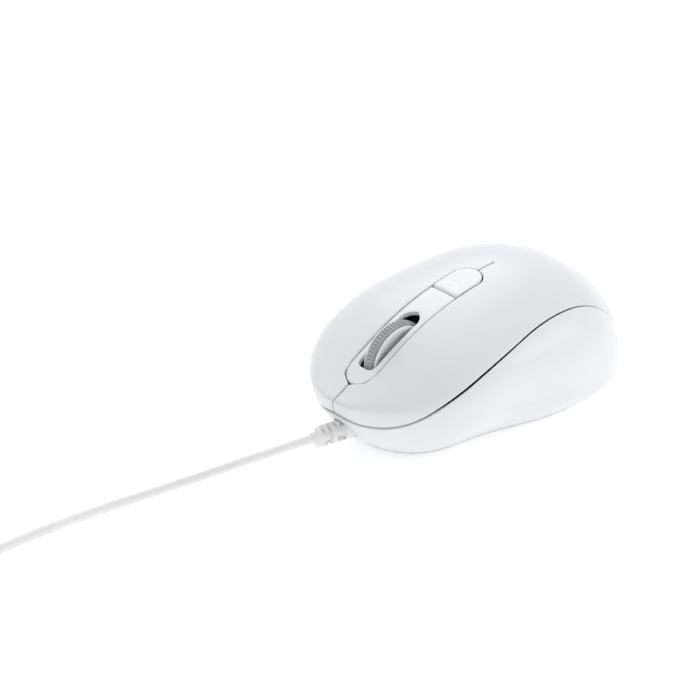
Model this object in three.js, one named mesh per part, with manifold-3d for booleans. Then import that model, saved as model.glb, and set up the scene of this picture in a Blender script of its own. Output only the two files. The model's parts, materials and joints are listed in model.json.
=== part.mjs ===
// Compact corded computer mouse, as an assembly of separate pieces.
// Millimetres. +Z is up, the cable end is -Y, the palm end is +Y, the thumb side is +X.
// The origin is on the surface that the mouse stands on, under the middle of its body.

import * as THREE from 'three';
import { mergeVertices } from 'three/addons/utils/BufferGeometryUtils.js';
import Module from 'manifold-3d';

const wasm = await Module();
wasm.setup();

// ---------------------------------------------------------------- driving dimensions

// Body envelope
const HALF_LENGTH = 51;
const HALF_WIDTH = 33;
const CREST_HEIGHT = 39.8;
const STATIONS = [-51, -25, 5, 30, 51];
const PLAN_FACTORS = [0.75, 1.02, 1.002, 1.019, 1.038];
const CREST_FACTORS = [0.55, 0.855, 1.006, 0.972, 0.8];
const SECTION_EXPONENT = 2.04;
const DOME_EXPONENT = 2.75;
const PLAN_END_FRONT = 2.9;
const PLAN_END_REAR = 2.62;
const SIDE_END_FRONT = 3.4;
const SIDE_END_REAR = 3.285;
const BELT_HEIGHT = 11.5;
const BELT_SLOPE = -8.5;
const TUCK = 0.665;
const CHIN_TUCK = 0.49;
const TUCK_EXPONENT = 1.77;
const WAIST_DEPTH = 0.29;
const WAIST_STATION = -14.6;
const WAIST_SPREAD = 19;
const WAIST_TOP = 37;
const WAIST_FADE = 1.6;
const BASE_HEIGHT = 1;
const WALL = 1.6;
const FLOOR_WALL = 1.8;

// Parting line between the top shell and the bottom case, as heights in the side view
const SEAM_STATIONS = [-51, -49.5, -47, -44, -40, -35, -28, -18, -6, 6, 16, 26, 34, 40, 46, 51];
const SEAM_HEIGHTS = [
  16.4, 14.75, 13.9, 14.5, 16.7, 20.1, 23.85, 27.75,
  30.6, 32.25, 32.25, 29.95, 24.95, 18.6, 12.4, 8.6,
];
const SEAM_GAP_FRONT = 0.8;
const SEAM_GAP_REAR = 0.3;
const SEAM_GAP_START = -46;
const SEAM_GAP_END = -5;

// Clearances
const GAP = 0.3;
const SKIN_OVERLAP = 0.8;

// Keys, flex line and slits
const FLEX_LINE = 12;
const SLIT_WIDTH = 0.5;
const FRONT_SLIT_END = -40;
const KEY_RIB = { width: 5, length: 2.4 };

// Centre strip, its channel and the small button
const STRIP_FRONT = -43.9;
const STRIP_NOSE = 5.4;
const STRIP_HALF_FRONT = 4.85;
const STRIP_HALF_REAR = 4.7;
const STRIP_REAR = -7.8;
const STRIP_THICKNESS = 1.4;
const STRIP_INSET = 0.2;
const STRIP_ARC_STEPS = 12;
const CHANNEL_GAP = 0.45;
const CHANNEL_POINT = -44.7;
const CHANNEL_CORNER = [4.3, -42.5];
const CHANNEL_TIP = 0.4;
const SMALL_BUTTON_REAR = 5.4;
const SMALL_BUTTON_PROUD = 0.2;
const SMALL_BUTTON_THICKNESS = 1.5;

// Shelf under the small button, and the switch that stands on it
const SHELF = { halfWidth: 3.9, front: -12, rear: 2, bottom: 30.6, top: 32.2 };
const SMALL_SWITCH = { y: -1.8, half: 3, top: 35.4, bore: 1.6, boreDepth: 1.6 };
const SMALL_PLUNGER = { radius: 1.25, foot: 0.9, top: 36.1 };

// Wheel
const WHEEL_CENTRE = [0, -26.6, 24.5];
const TYRE_RADIUS = 11;
const TYRE_INNER = 9.4;
const TYRE_WIDTH = 2.8;
const TYRE_SHOULDER = [0.3, 0.4];
const RIM_RADIUS = 10.2;
const GROOVE_RADIUS = 9.1;
const HUB_WIDTH = 4.6;
const STUB_RADIUS = 1.25;
const STUB_LEFT = 6.3;
const STUB_RIGHT = -9.4;
const ENCODER_STUB = { radius: 0.9, end: -5.2 };
const FACE_DISH = 0.9;
const DISH_INNER = [2.6, 3.2];
const DISH_OUTER = [8.3, 8.9];
const SLOT_HALF_WIDTH = 3.1;
const SLOT_FRONT = -38.9;
const SLOT_REAR = -17.9;
const SLOT_CORNER = 1.9;

// Wheel's yoke, guide, encoder and switch
const YOKE = { half: 4.2, plate: 1.2, halfLength: 3.7, bottom: 11.6, floor: 12.8, rise: 2.4 };
const GUIDE = { x0: 5, x1: 6.8, halfLength: 3.4, halfSlot: 1.6, slotDrop: 2.2, rise: 1.9 };
const ENCODER = { x0: -9.9, x1: -6.8, front: 3.2, rear: 4, rise: 1.9, bore: 1.5 };
const MIDDLE_SWITCH = { half: 3, top: 10.4, bore: 1.8, boreDepth: 2 };
const MIDDLE_PLUNGER = { radius: 1.4, foot: 1.1 };

// Boards
const BOARD_THICKNESS = 1.2;
const MAIN_BOARD_BOTTOM = 5.6;
const MAIN_BOARD = { half: 18.5, front: -32, rear: 20, corner: 4 };
const KEY_BOARD_BOTTOM = 13;
const KEY_BOARD = { half: 18.5, front: -38, rear: -15, corner: 3 };
const KEY_BOARD_NOTCH = { half: 5, front: -32.8 };
const BOARD_LINK = { x0: 12, x1: 14.4, y0: -26, y1: -18 };

// Screws, the bosses below and the posts above
const SCREW_REAR = [15, 27];
const SCREW_FRONT_Y = -10.6;
const BOSS_TOP = 9;
const BOSS_RADIUS = 3.8;
const POST_RADIUS = 2.5;
const SCREW_BORE = 1.55;
const SCREW_WELL = { radius: 3.1, top: 3.3 };
const SCREW_HEAD = { radius: 2.6, bottom: 1.7, top: 2.9 };
const SCREW_SHANK = 1.2;
const SCREW_POINT = 14;
const SCREW_TIP = 16;

// Key switches
const KEY_SWITCH = { x: 13.7, y: -31, front: 2.9, width: 5.8, length: 12.8, height: 6.3, corner: 0.6 };
const PLUNGER_RADIUS = 1.1;
const PLUNGER_FOOT = 1.2;
const PLUNGER_WELL = 2.2;
const PLUNGER_PROUD = 0.8;

// Optics
const OPTIC_Y = 3;
const SIGHT_HOLE = { half: 5, front: 4, rear: 6, corner: 2 };
const LENS_PLATE = { half: 8, front: 8, rear: 8.5, corner: 1.5 };
const LENS_BARREL = { radius: 2.6, bottom: 2, top: 4 };
const SENSOR = { half: 4.6, halfLength: 4.5, height: 2.2 };
const SENSOR_WINDOW = { half: 3.2, halfLength: 2.2, corner: 1 };
const LAMP = { radius: 1.5, length: 3.4, behind: 8.6, lift: 1.6 };
const LAMP_CLIP = { half: 6.4, front: 6, rear: 13.4, height: 4.4, side: 1.4, end: 1, back: 1.2, roof: 0.8 };

// What else the main board carries
const CHIP = { x0: -16.5, x1: -9.5, y0: -14, y1: -4, height: 1.6 };
const CAPACITOR = { x: 13.5, y: -8, radius: 2.2, height: 5 };
const SOCKET = { x0: -15.5, x1: -6.5, y0: -31, y1: -26.5, height: 4 };

// Feet and label on the underside
const FRONT_FOOT = [-10, 10, -31, -24.6];
const REAR_FOOT = [-12.5, 12.5, 32, 38.4];
const FOOT_TOP = 1.2;
const FOOT_CORNER = 3;
const LABEL = { half: 10.1, y0: 17.9, y1: 25.1, corner: 0.7, bottom: 1.1, top: 1.5 };
const LABEL_BED = { half: 10.4, y0: 17.6, y1: 25.4, corner: 1, top: 1.8 };

// Cable
const CORD_RADIUS = 1.3;
const CORD_HEIGHT = 1.35;
const RELIEF_ROOT = [0.6, -48.6, 10.2];
const RELIEF_YAW = 12;
const RELIEF_LENGTH = 9.2;
const RELIEF_INSIDE = 8.5;
const RELIEF_BORE = { radius: 3.3, length: 16 };
const COIL_CENTRE = [-48.3, -164, 0];
const COIL_INNER = 7.7;
const COIL_OUTER = 20.4;
const COIL_BOTTOM = 0.5;
const COIL_TOP = 11.1;
const COIL_CORNER = 1.2;
const TIE = { width: 4, inner: 0.5, outer: 0.35, wall: 0.5, bottom: 0.02 };
const PLUG_X = -77.3;
const PLUG_BACK = -160;
const PLUG_LEVEL = 3.8;
const PLUG_WIDTH = 15.4;
const PLUG_HEIGHT = 7.4;
const PLUG_LENGTH = 24;
const PLUG_CORNER = 2.4;
const CONTACT_SHELL = { width: 12, height: 4.5, length: 12.2, wall: 0.4 };
const TONGUE = { thickness: 1.6, setBack: 2.2 };

// How far cutting shapes reach past the body
const REACH = 60;
const BELOW = -20;
const ABOVE = 80;
const MID_LEVEL = 15;

// Undersides of what stands on the boards
const MAIN_BOARD_SEAT = MAIN_BOARD_BOTTOM + BOARD_THICKNESS + GAP;
const KEY_BOARD_SEAT = KEY_BOARD_BOTTOM + BOARD_THICKNESS + GAP;

// ---------------------------------------------------------------- materials

const shellWhite = new THREE.MeshStandardMaterial({ color: 0xe4e5e8, roughness: 0.35, metalness: 0 });
const glossWhite = new THREE.MeshStandardMaterial({ color: 0xedeef0, roughness: 0.2, metalness: 0 });
const rubberGrey = new THREE.MeshStandardMaterial({ color: 0x8d8f92, roughness: 0.75, metalness: 0 });
const cordWhite = new THREE.MeshStandardMaterial({ color: 0xd9d8d4, roughness: 0.5, metalness: 0 });
const glideGrey = new THREE.MeshStandardMaterial({ color: 0x55575a, roughness: 0.6, metalness: 0 });
const boardGreen = new THREE.MeshStandardMaterial({ color: 0x2f6b3a, roughness: 0.5, metalness: 0.1 });
const partBlack = new THREE.MeshStandardMaterial({ color: 0x1c1c1e, roughness: 0.55, metalness: 0 });
const clearPlastic = new THREE.MeshStandardMaterial({ color: 0xcfe3ee, roughness: 0.1, metalness: 0 });
const steel = new THREE.MeshStandardMaterial({ color: 0xb9bcc0, roughness: 0.3, metalness: 1 });

// ---------------------------------------------------------------- solids

function signedVolume(positions, corners) {
  const [a, b, c] = [new THREE.Vector3(), new THREE.Vector3(), new THREE.Vector3()];
  let sum = 0;
  for (let i = 0; i < corners.length; i += 3) {
    a.fromArray(positions, 3 * corners[i]);
    b.fromArray(positions, 3 * corners[i + 1]);
    c.fromArray(positions, 3 * corners[i + 2]);
    sum += a.dot(b.cross(c)) / 6;
  }
  return sum;
}

// A closed geometry as a solid for joining and cutting, with its faces turned outwards.
function toManifold(geometry) {
  const bare = geometry.clone();
  bare.deleteAttribute('normal');
  bare.deleteAttribute('uv');
  const merged = mergeVertices(bare, 1e-4);
  const vertProperties = new Float32Array(merged.attributes.position.array);
  const triVerts = new Uint32Array(merged.index.array);
  if (signedVolume(vertProperties, triVerts) < 0) {
    for (let i = 0; i < triVerts.length; i += 3) {
      [triVerts[i + 1], triVerts[i + 2]] = [triVerts[i + 2], triVerts[i + 1]];
    }
  }
  return new wasm.Manifold(new wasm.Mesh({ numProp: 3, vertProperties, triVerts }));
}

function toGeometry(solid) {
  const data = solid.getMesh();
  const geometry = new THREE.BufferGeometry();
  geometry.setAttribute('position', new THREE.BufferAttribute(new Float32Array(data.vertProperties), 3));
  geometry.setIndex(new THREE.BufferAttribute(new Uint32Array(data.triVerts), 1));
  geometry.computeVertexNormals();
  return geometry;
}

function joined(...solids) {
  return solids.reduce((sum, solid) => sum.add(solid));
}

function box(x0, x1, y0, y1, z0, z1) {
  const geometry = new THREE.BoxGeometry(x1 - x0, y1 - y0, z1 - z0);
  geometry.translate((x0 + x1) / 2, (y0 + y1) / 2, (z0 + z1) / 2);
  return toManifold(geometry);
}

function post(x, y, radius, z0, z1, sides = 20) {
  const geometry = new THREE.CylinderGeometry(radius, radius, z1 - z0, sides);
  geometry.rotateX(Math.PI / 2);
  geometry.translate(x, y, (z0 + z1) / 2);
  return toManifold(geometry);
}

function crossRod(radius, x0, x1, y, z, sides = 20) {
  const geometry = new THREE.CylinderGeometry(radius, radius, x1 - x0, sides);
  geometry.rotateZ(Math.PI / 2);
  geometry.translate((x0 + x1) / 2, y, z);
  return toManifold(geometry);
}

function prism(points, z0, z1) {
  const shape = new THREE.Shape(points.map(([x, y]) => new THREE.Vector2(x, y)));
  const geometry = new THREE.ExtrudeGeometry(shape, { depth: z1 - z0, bevelEnabled: false });
  geometry.translate(0, 0, z0);
  return toManifold(geometry);
}

// A side-view outline of (y, z) points, extruded across the whole width.
function sidePrism(points, reach) {
  const shape = new THREE.Shape(points.map(([y, z]) => new THREE.Vector2(y, z)));
  const geometry = new THREE.ExtrudeGeometry(shape, { depth: 2 * reach, bevelEnabled: false });
  const axes = new THREE.Matrix4().makeBasis(
    new THREE.Vector3(0, 1, 0),
    new THREE.Vector3(0, 0, 1),
    new THREE.Vector3(1, 0, 0),
  );
  geometry.applyMatrix4(axes);
  geometry.translate(-reach, 0, 0);
  return toManifold(geometry);
}

function roundedRectangle(x0, x1, y0, y1, radius, steps = 4) {
  const corners = [[x1, y1, 0], [x0, y1, 1], [x0, y0, 2], [x1, y0, 3]];
  const points = [];
  for (const [x, y, quarter] of corners) {
    const cx = x + (x === x1 ? -radius : radius);
    const cy = y + (y === y1 ? -radius : radius);
    for (let i = 0; i <= steps; i += 1) {
      const angle = (quarter + i / steps) * Math.PI / 2;
      points.push([cx + radius * Math.cos(angle), cy + radius * Math.sin(angle)]);
    }
  }
  return points;
}

// ---------------------------------------------------------------- body envelope

// Natural cubic spline through (xs, ys).
function spline(xs, ys) {
  const n = xs.length;
  const bend = new Array(n).fill(0);
  const work = new Array(n).fill(0);
  for (let i = 1; i < n - 1; i += 1) {
    const ratio = (xs[i] - xs[i - 1]) / (xs[i + 1] - xs[i - 1]);
    const pivot = ratio * bend[i - 1] + 2;
    const kink = (ys[i + 1] - ys[i]) / (xs[i + 1] - xs[i]) - (ys[i] - ys[i - 1]) / (xs[i] - xs[i - 1]);
    bend[i] = (ratio - 1) / pivot;
    work[i] = ((6 * kink) / (xs[i + 1] - xs[i - 1]) - ratio * work[i - 1]) / pivot;
  }
  for (let i = n - 2; i >= 0; i -= 1) {
    bend[i] = bend[i] * bend[i + 1] + work[i];
  }
  return (x) => {
    const at = Math.min(Math.max(x, xs[0]), xs[n - 1]);
    let k = 0;
    while (k < n - 2 && at > xs[k + 1]) {
      k += 1;
    }
    const h = xs[k + 1] - xs[k];
    const a = (xs[k + 1] - at) / h;
    const b = 1 - a;
    return a * ys[k] + b * ys[k + 1] + ((a ** 3 - a) * bend[k] + (b ** 3 - b) * bend[k + 1]) * h * h / 6;
  };
}

const planFactor = spline(STATIONS, PLAN_FACTORS);
const crestFactor = spline(STATIONS, CREST_FACTORS);
const seamHeight = spline(SEAM_STATIONS, SEAM_HEIGHTS);

// Below 1 inside the body, 1 on its skin.
function envelope(x, y, z, inset) {
  const t = y / (HALF_LENGTH - inset);
  if (Math.abs(t) >= 1) {
    return Infinity;
  }
  const station = t * HALF_LENGTH;
  const planEnd = t < 0 ? PLAN_END_FRONT : PLAN_END_REAR;
  const sideEnd = t < 0 ? SIDE_END_FRONT : SIDE_END_REAR;
  const waist = WAIST_DEPTH * Math.exp(-(((y - WAIST_STATION) / WAIST_SPREAD) ** 2))
    * THREE.MathUtils.clamp((WAIST_TOP - z) / WAIST_TOP, 0, 1) ** WAIST_FADE;
  const halfWidth = HALF_WIDTH * planFactor(station) * (1 - waist) - inset;
  const crest = CREST_HEIGHT * crestFactor(station) - inset;
  const belt = BELT_HEIGHT + BELT_SLOPE * t;
  const plan = 1 - Math.abs(t) ** planEnd;
  const side = 1 - Math.abs(t) ** sideEnd;
  const chin = 1 + CHIN_TUCK * Math.max(0, -t) ** 2;
  const up = Math.max(0, (z - belt) / (crest - belt));
  const down = Math.max(0, (belt - z) / belt * TUCK * chin);
  return (Math.abs(x) / halfWidth) ** SECTION_EXPONENT / plan
    + up ** DOME_EXPONENT / side
    + down ** TUCK_EXPONENT / side;
}

// The skin, found along rays from a point on the middle line, as a closed surface.
function bodyGeometry(inset) {
  const around = 48;
  const rows = 24;
  const heart = new THREE.Vector3(0, 0, 11);
  const position = [];
  const skinPoint = (direction) => {
    let near = 0;
    let far = 90;
    for (let i = 0; i < 40; i += 1) {
      const mid = (near + far) / 2;
      const p = direction.clone().multiplyScalar(mid).add(heart);
      if (envelope(p.x, p.y, p.z, inset) < 1) {
        near = mid;
      } else {
        far = mid;
      }
    }
    return direction.clone().multiplyScalar(near).add(heart);
  };
  const put = (p) => position.push(p.x, p.y, p.z);
  put(skinPoint(new THREE.Vector3(0, 0, 1)));
  for (let row = 1; row < rows; row += 1) {
    const polar = Math.PI * row / rows;
    for (let k = 0; k < around; k += 1) {
      const turn = 2 * Math.PI * k / around;
      put(skinPoint(new THREE.Vector3(
        Math.sin(polar) * Math.sin(turn),
        -Math.sin(polar) * Math.cos(turn),
        Math.cos(polar),
      )));
    }
  }
  put(skinPoint(new THREE.Vector3(0, 0, -1)));
  const last = position.length / 3 - 1;
  const at = (row, k) => 1 + (row - 1) * around + (k % around);
  const index = [];
  for (let k = 0; k < around; k += 1) {
    index.push(0, at(1, k), at(1, k + 1));
    index.push(last, at(rows - 1, k + 1), at(rows - 1, k));
    for (let row = 1; row < rows - 1; row += 1) {
      index.push(at(row, k), at(row + 1, k), at(row + 1, k + 1));
      index.push(at(row, k), at(row + 1, k + 1), at(row, k + 1));
    }
  }
  const geometry = new THREE.BufferGeometry();
  geometry.setAttribute('position', new THREE.BufferAttribute(new Float32Array(position), 3));
  geometry.setIndex(index);
  return geometry;
}

const bodies = new Map();

// The envelope moved inwards by an inset, made once for each inset.
function body(inset) {
  if (!bodies.has(inset)) {
    bodies.set(inset, toManifold(bodyGeometry(inset)));
  }
  return bodies.get(inset);
}

function skin(inset, thickness) {
  return body(inset).subtract(body(inset + thickness));
}

// The parting line in the side view, from front to rear, with its ends carried past the body.
function seamLine(lift) {
  const steps = 72;
  const start = -54;
  const points = [];
  for (let i = 0; i <= steps; i += 1) {
    const y = start - 2 * start * i / steps;
    points.push([y, seamHeight(y) + lift(y)]);
  }
  points[0][0] = -REACH;
  points[steps][0] = REACH;
  return points;
}

// Everything above the parting line, lifted by a gap that is wider under the moving keys.
function aboveSeam() {
  const lift = (y) => {
    const along = THREE.MathUtils.clamp((y - SEAM_GAP_START) / (SEAM_GAP_END - SEAM_GAP_START), 0, 1);
    return THREE.MathUtils.lerp(SEAM_GAP_FRONT, SEAM_GAP_REAR, along);
  };
  return sidePrism([[REACH, ABOVE], [-REACH, ABOVE], ...seamLine(lift)], REACH);
}

function belowSeam() {
  return sidePrism([[-REACH, BELOW], [REACH, BELOW], ...seamLine(() => 0).reverse()], REACH);
}

function stripHalfWidth(y) {
  const t = (y - STRIP_FRONT) / (SMALL_BUTTON_REAR - STRIP_FRONT);
  return STRIP_HALF_FRONT + (STRIP_HALF_REAR - STRIP_HALF_FRONT) * t;
}

// Plan outline of the strip and small button together: rounded nose, tapering sides, round tail.
function stripOutline(grow) {
  const noseY = STRIP_FRONT + STRIP_NOSE;
  const tailY = SMALL_BUTTON_REAR - STRIP_HALF_REAR;
  const halfTurn = (y, depth, start) => {
    const half = stripHalfWidth(y) + grow;
    const points = [];
    for (let i = 0; i <= STRIP_ARC_STEPS; i += 1) {
      const angle = start + Math.PI * i / STRIP_ARC_STEPS;
      points.push([half * Math.cos(angle), y + (depth + grow) * Math.sin(angle)]);
    }
    return points;
  };
  return [...halfTurn(noseY, STRIP_NOSE, Math.PI), ...halfTurn(tailY, STRIP_HALF_REAR, 0)];
}

// An upright prism tall enough to cut through the upper skin.
function topPrism(outline) {
  return prism(outline, MID_LEVEL, REACH);
}

// The channel in the top shell: it follows the strip, but its front end is a blunt point.
function channelOutline() {
  const [cornerX, cornerY] = CHANNEL_CORNER;
  const outline = stripOutline(CHANNEL_GAP);
  const tail = outline.slice(outline.length / 2);
  const [leftX, noseY] = outline[0];
  return [
    [leftX, noseY],
    [-cornerX, cornerY],
    [-CHANNEL_TIP, CHANNEL_POINT],
    [CHANNEL_TIP, CHANNEL_POINT],
    [cornerX, cornerY],
    [-leftX, noseY],
    ...tail,
  ];
}

// ---------------------------------------------------------------- shells and buttons

function topShell() {
  return skin(0, WALL).intersect(aboveSeam());
}

function slitCuts() {
  const half = SLIT_WIDTH / 2;
  const front = box(-half, half, -REACH, FRONT_SLIT_END, 0, REACH);
  const rear = box(-half, half, 0, FLEX_LINE + GAP / 2, MID_LEVEL, REACH);
  return joined(front, rear);
}

// One key with the rib that presses its switch, on the thumb side (1) or the far side (-1).
function key(side) {
  const [x0, x1] = side > 0 ? [0, REACH] : [-REACH, 0];
  const half = box(x0, x1, -REACH, FLEX_LINE - GAP / 2, 0, REACH);
  const { x, y, height } = KEY_SWITCH;
  const { width, length } = KEY_RIB;
  const ribBottom = KEY_BOARD_SEAT + height + PLUNGER_PROUD + GAP;
  const centre = side * x;
  const [y0, y1] = [y - length / 2, y + length / 2];
  const rib = box(centre - width / 2, centre + width / 2, y0, y1, ribBottom, REACH)
    .intersect(body(SKIN_OVERLAP));
  return joined(topShell().intersect(half), rib)
    .subtract(topPrism(channelOutline()))
    .subtract(slitCuts());
}

// A post that hangs from the upper skin over a screw boss.
function shellPost(x, y) {
  return post(x, y, POST_RADIUS, BOSS_TOP + GAP, REACH).intersect(body(SKIN_OVERLAP));
}

function screwHole(x, y) {
  return post(x, y, SCREW_BORE, 0, SCREW_TIP + 1);
}

function palmCover() {
  const rear = box(-REACH, REACH, FLEX_LINE + GAP / 2, REACH, 0, REACH);
  const [x, y] = SCREW_REAR;
  return joined(topShell().intersect(rear), shellPost(x, y), shellPost(-x, y))
    .subtract(screwHole(x, y))
    .subtract(screwHole(-x, y));
}

function screwWell(x, y) {
  return joined(
    post(x, y, SCREW_WELL.radius, 0, SCREW_WELL.top),
    post(x, y, SCREW_BORE, 0, BOSS_TOP + 1),
  );
}

function screwPlaces() {
  const [x, y] = SCREW_REAR;
  return [[0, SCREW_FRONT_Y], [x, y], [-x, y]];
}

// Everything higher than a level.
function above(level) {
  return box(-REACH, REACH, -REACH, REACH, level, ABOVE);
}

function sightHole() {
  const { half, front, rear, corner } = SIGHT_HOLE;
  const outline = roundedRectangle(-half, half, OPTIC_Y - front, OPTIC_Y + rear, corner);
  return prism(outline, 0, MAIN_BOARD_BOTTOM);
}

function labelBed() {
  const { half, y0, y1, corner, top } = LABEL_BED;
  return prism(roundedRectangle(-half, half, y0, y1, corner), 0, top);
}

function bottomCase() {
  const hollow = body(WALL).intersect(above(BASE_HEIGHT + FLOOR_WALL));
  let shell = body(0).intersect(above(BASE_HEIGHT)).subtract(hollow).intersect(belowSeam());
  for (const [x, y] of screwPlaces()) {
    shell = shell.add(post(x, y, BOSS_RADIUS, BASE_HEIGHT + FLOOR_WALL / 2, BOSS_TOP));
  }
  for (const [x, y] of screwPlaces()) {
    shell = shell.subtract(screwWell(x, y));
  }
  return shell
    .subtract(sightHole())
    .subtract(labelBed())
    .subtract(footBed(FRONT_FOOT))
    .subtract(footBed(REAR_FOOT))
    .subtract(reliefBore());
}

// ---------------------------------------------------------------- feet and label

function footBed([x0, x1, y0, y1]) {
  const outline = roundedRectangle(x0 - GAP, x1 + GAP, y0 - GAP, y1 + GAP, FOOT_CORNER + GAP);
  return prism(outline, 0, FOOT_TOP + GAP);
}

function foot([x0, x1, y0, y1]) {
  return prism(roundedRectangle(x0, x1, y0, y1, FOOT_CORNER), 0, FOOT_TOP);
}

function baseLabel() {
  const { half, y0, y1, corner, bottom, top } = LABEL;
  return prism(roundedRectangle(-half, half, y0, y1, corner), bottom, top);
}

// A solid turned about +Y, from an outline of (radius, distance along).
function turned(profile, segments) {
  const points = profile.map(([radius, along]) => new THREE.Vector2(radius, along));
  return new THREE.LatheGeometry(points, segments);
}

function screw() {
  const { radius, bottom, top } = SCREW_HEAD;
  const geometry = turned([
    [0, bottom],
    [radius, bottom],
    [radius, top],
    [SCREW_SHANK, top],
    [SCREW_SHANK, SCREW_POINT],
    [0, SCREW_TIP],
  ], 16);
  geometry.rotateX(Math.PI / 2);
  return toManifold(geometry);
}

// ---------------------------------------------------------------- strip and small button

// The strip plate with the wheel's slot, its screw post, and the shelf that runs back from the post.
function wheelBezel() {
  const front = box(-REACH, REACH, -REACH, STRIP_REAR, MID_LEVEL, REACH);
  const slot = roundedRectangle(-SLOT_HALF_WIDTH, SLOT_HALF_WIDTH, SLOT_FRONT, SLOT_REAR, SLOT_CORNER);
  const plate = skin(STRIP_INSET, STRIP_THICKNESS)
    .intersect(topPrism(stripOutline(0)))
    .intersect(front)
    .subtract(topPrism(slot));
  const shelf = box(-SHELF.halfWidth, SHELF.halfWidth, SHELF.front, SHELF.rear, SHELF.bottom, SHELF.top);
  return joined(plate, shellPost(0, SCREW_FRONT_Y), shelf).subtract(screwHole(0, SCREW_FRONT_Y));
}

function smallButton() {
  const rear = box(-REACH, REACH, STRIP_REAR + GAP, REACH, MID_LEVEL, REACH);
  const plate = skin(-SMALL_BUTTON_PROUD, SMALL_BUTTON_THICKNESS)
    .intersect(topPrism(stripOutline(0)))
    .intersect(rear);
  const stem = post(0, SMALL_SWITCH.y, SMALL_SWITCH.bore, SMALL_PLUNGER.top + GAP, REACH)
    .intersect(body(SKIN_OVERLAP));
  return joined(plate, stem);
}

function smallSwitch() {
  const { y, half, top, bore, boreDepth } = SMALL_SWITCH;
  return box(-half, half, y - half, y + half, SHELF.top + GAP, top)
    .subtract(post(0, y, bore, top - boreDepth, top + 1));
}

function smallPlunger() {
  const { radius, foot: footDepth, top } = SMALL_PLUNGER;
  return post(0, SMALL_SWITCH.y, radius, SMALL_SWITCH.top - footDepth, top);
}

// ---------------------------------------------------------------- wheel

// A rim, a dished face and half of the tyre's groove, on the side that faces +X.
function hubSide() {
  const half = HUB_WIDTH / 2;
  const groove = TYRE_WIDTH / 2 + GAP;
  return [
    [GROOVE_RADIUS, groove],
    [RIM_RADIUS, groove],
    [RIM_RADIUS, half],
    [DISH_OUTER[1], half],
    [DISH_OUTER[0], half - FACE_DISH],
    [DISH_INNER[1], half - FACE_DISH],
    [DISH_INNER[0], half],
    [STUB_RADIUS, half],
  ];
}

function wheelHub() {
  const farSide = hubSide().map(([radius, x]) => [radius, -x]).reverse();
  const geometry = turned([
    [0, STUB_RIGHT],
    [ENCODER_STUB.radius, STUB_RIGHT],
    [ENCODER_STUB.radius, ENCODER_STUB.end],
    [STUB_RADIUS, ENCODER_STUB.end],
    ...farSide,
    ...hubSide(),
    [STUB_RADIUS, STUB_LEFT],
    [0, STUB_LEFT],
  ], 28);
  return aboutWheelAxis(geometry);
}

function wheelTyre() {
  const half = TYRE_WIDTH / 2;
  const shoulder = TYRE_RADIUS - TYRE_SHOULDER[0];
  const tread = half - TYRE_SHOULDER[1];
  const geometry = turned([
    [TYRE_INNER, -half],
    [shoulder, -half],
    [TYRE_RADIUS, -tread],
    [TYRE_RADIUS, tread],
    [shoulder, half],
    [TYRE_INNER, half],
    [TYRE_INNER, -half],
  ], 40);
  return aboutWheelAxis(geometry);
}

function aboutWheelAxis(geometry) {
  geometry.rotateZ(-Math.PI / 2);
  geometry.translate(...WHEEL_CENTRE);
  return toManifold(geometry);
}

// A carriage of a floor and two side plates, bored for the wheel's stubs.
function wheelYoke() {
  const [, y, z] = WHEEL_CENTRE;
  const { half, plate, halfLength, bottom, floor, rise } = YOKE;
  const [y0, y1] = [y - halfLength, y + halfLength];
  return joined(
    box(-half, half, y0, y1, bottom, floor),
    box(half - plate, half, y0, y1, bottom, z + rise),
    box(-half, plate - half, y0, y1, bottom, z + rise),
  ).subtract(crossRod(STUB_RADIUS + GAP, -REACH, REACH, y, z));
}

function wheelGuide() {
  const [, y, z] = WHEEL_CENTRE;
  const { x0, x1, halfLength, halfSlot, slotDrop, rise } = GUIDE;
  return box(x0, x1, y - halfLength, y + halfLength, KEY_BOARD_SEAT, z + rise)
    .subtract(box(x0 - 1, x1 + 1, y - halfSlot, y + halfSlot, z - slotDrop, REACH));
}

function scrollEncoder() {
  const [, y, z] = WHEEL_CENTRE;
  const { x0, x1, front, rear, rise, bore } = ENCODER;
  return box(x0, x1, y - front, y + rear, KEY_BOARD_SEAT, z + rise)
    .subtract(crossRod(bore, -REACH, 0, y, z));
}

function middleSwitch() {
  const [, y] = WHEEL_CENTRE;
  const { half, top, bore, boreDepth } = MIDDLE_SWITCH;
  return box(-half, half, y - half, y + half, MAIN_BOARD_SEAT, top)
    .subtract(post(0, y, bore, top - boreDepth, top + 1));
}

function middlePlunger() {
  const [, y] = WHEEL_CENTRE;
  return post(0, y, MIDDLE_PLUNGER.radius, MIDDLE_SWITCH.top - MIDDLE_PLUNGER.foot, YOKE.bottom - GAP);
}

// ---------------------------------------------------------------- boards and what they carry

function board({ half, front, rear, corner }, bottom) {
  return prism(roundedRectangle(-half, half, front, rear, corner), bottom, bottom + BOARD_THICKNESS);
}

function mainBoard() {
  const { half, halfLength, corner } = SENSOR_WINDOW;
  const window = roundedRectangle(-half, half, OPTIC_Y - halfLength, OPTIC_Y + halfLength, corner);
  return board(MAIN_BOARD, MAIN_BOARD_BOTTOM)
    .subtract(post(0, SCREW_FRONT_Y, BOSS_RADIUS + GAP, 0, REACH))
    .subtract(prism(window, 0, REACH));
}

function keyBoard() {
  const { half, front } = KEY_BOARD_NOTCH;
  return board(KEY_BOARD, KEY_BOARD_BOTTOM).subtract(box(-half, half, front, 0, 0, REACH));
}

function boardLink() {
  const { x0, x1, y0, y1 } = BOARD_LINK;
  return box(x0, x1, y0, y1, MAIN_BOARD_SEAT, KEY_BOARD_BOTTOM - GAP);
}

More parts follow.
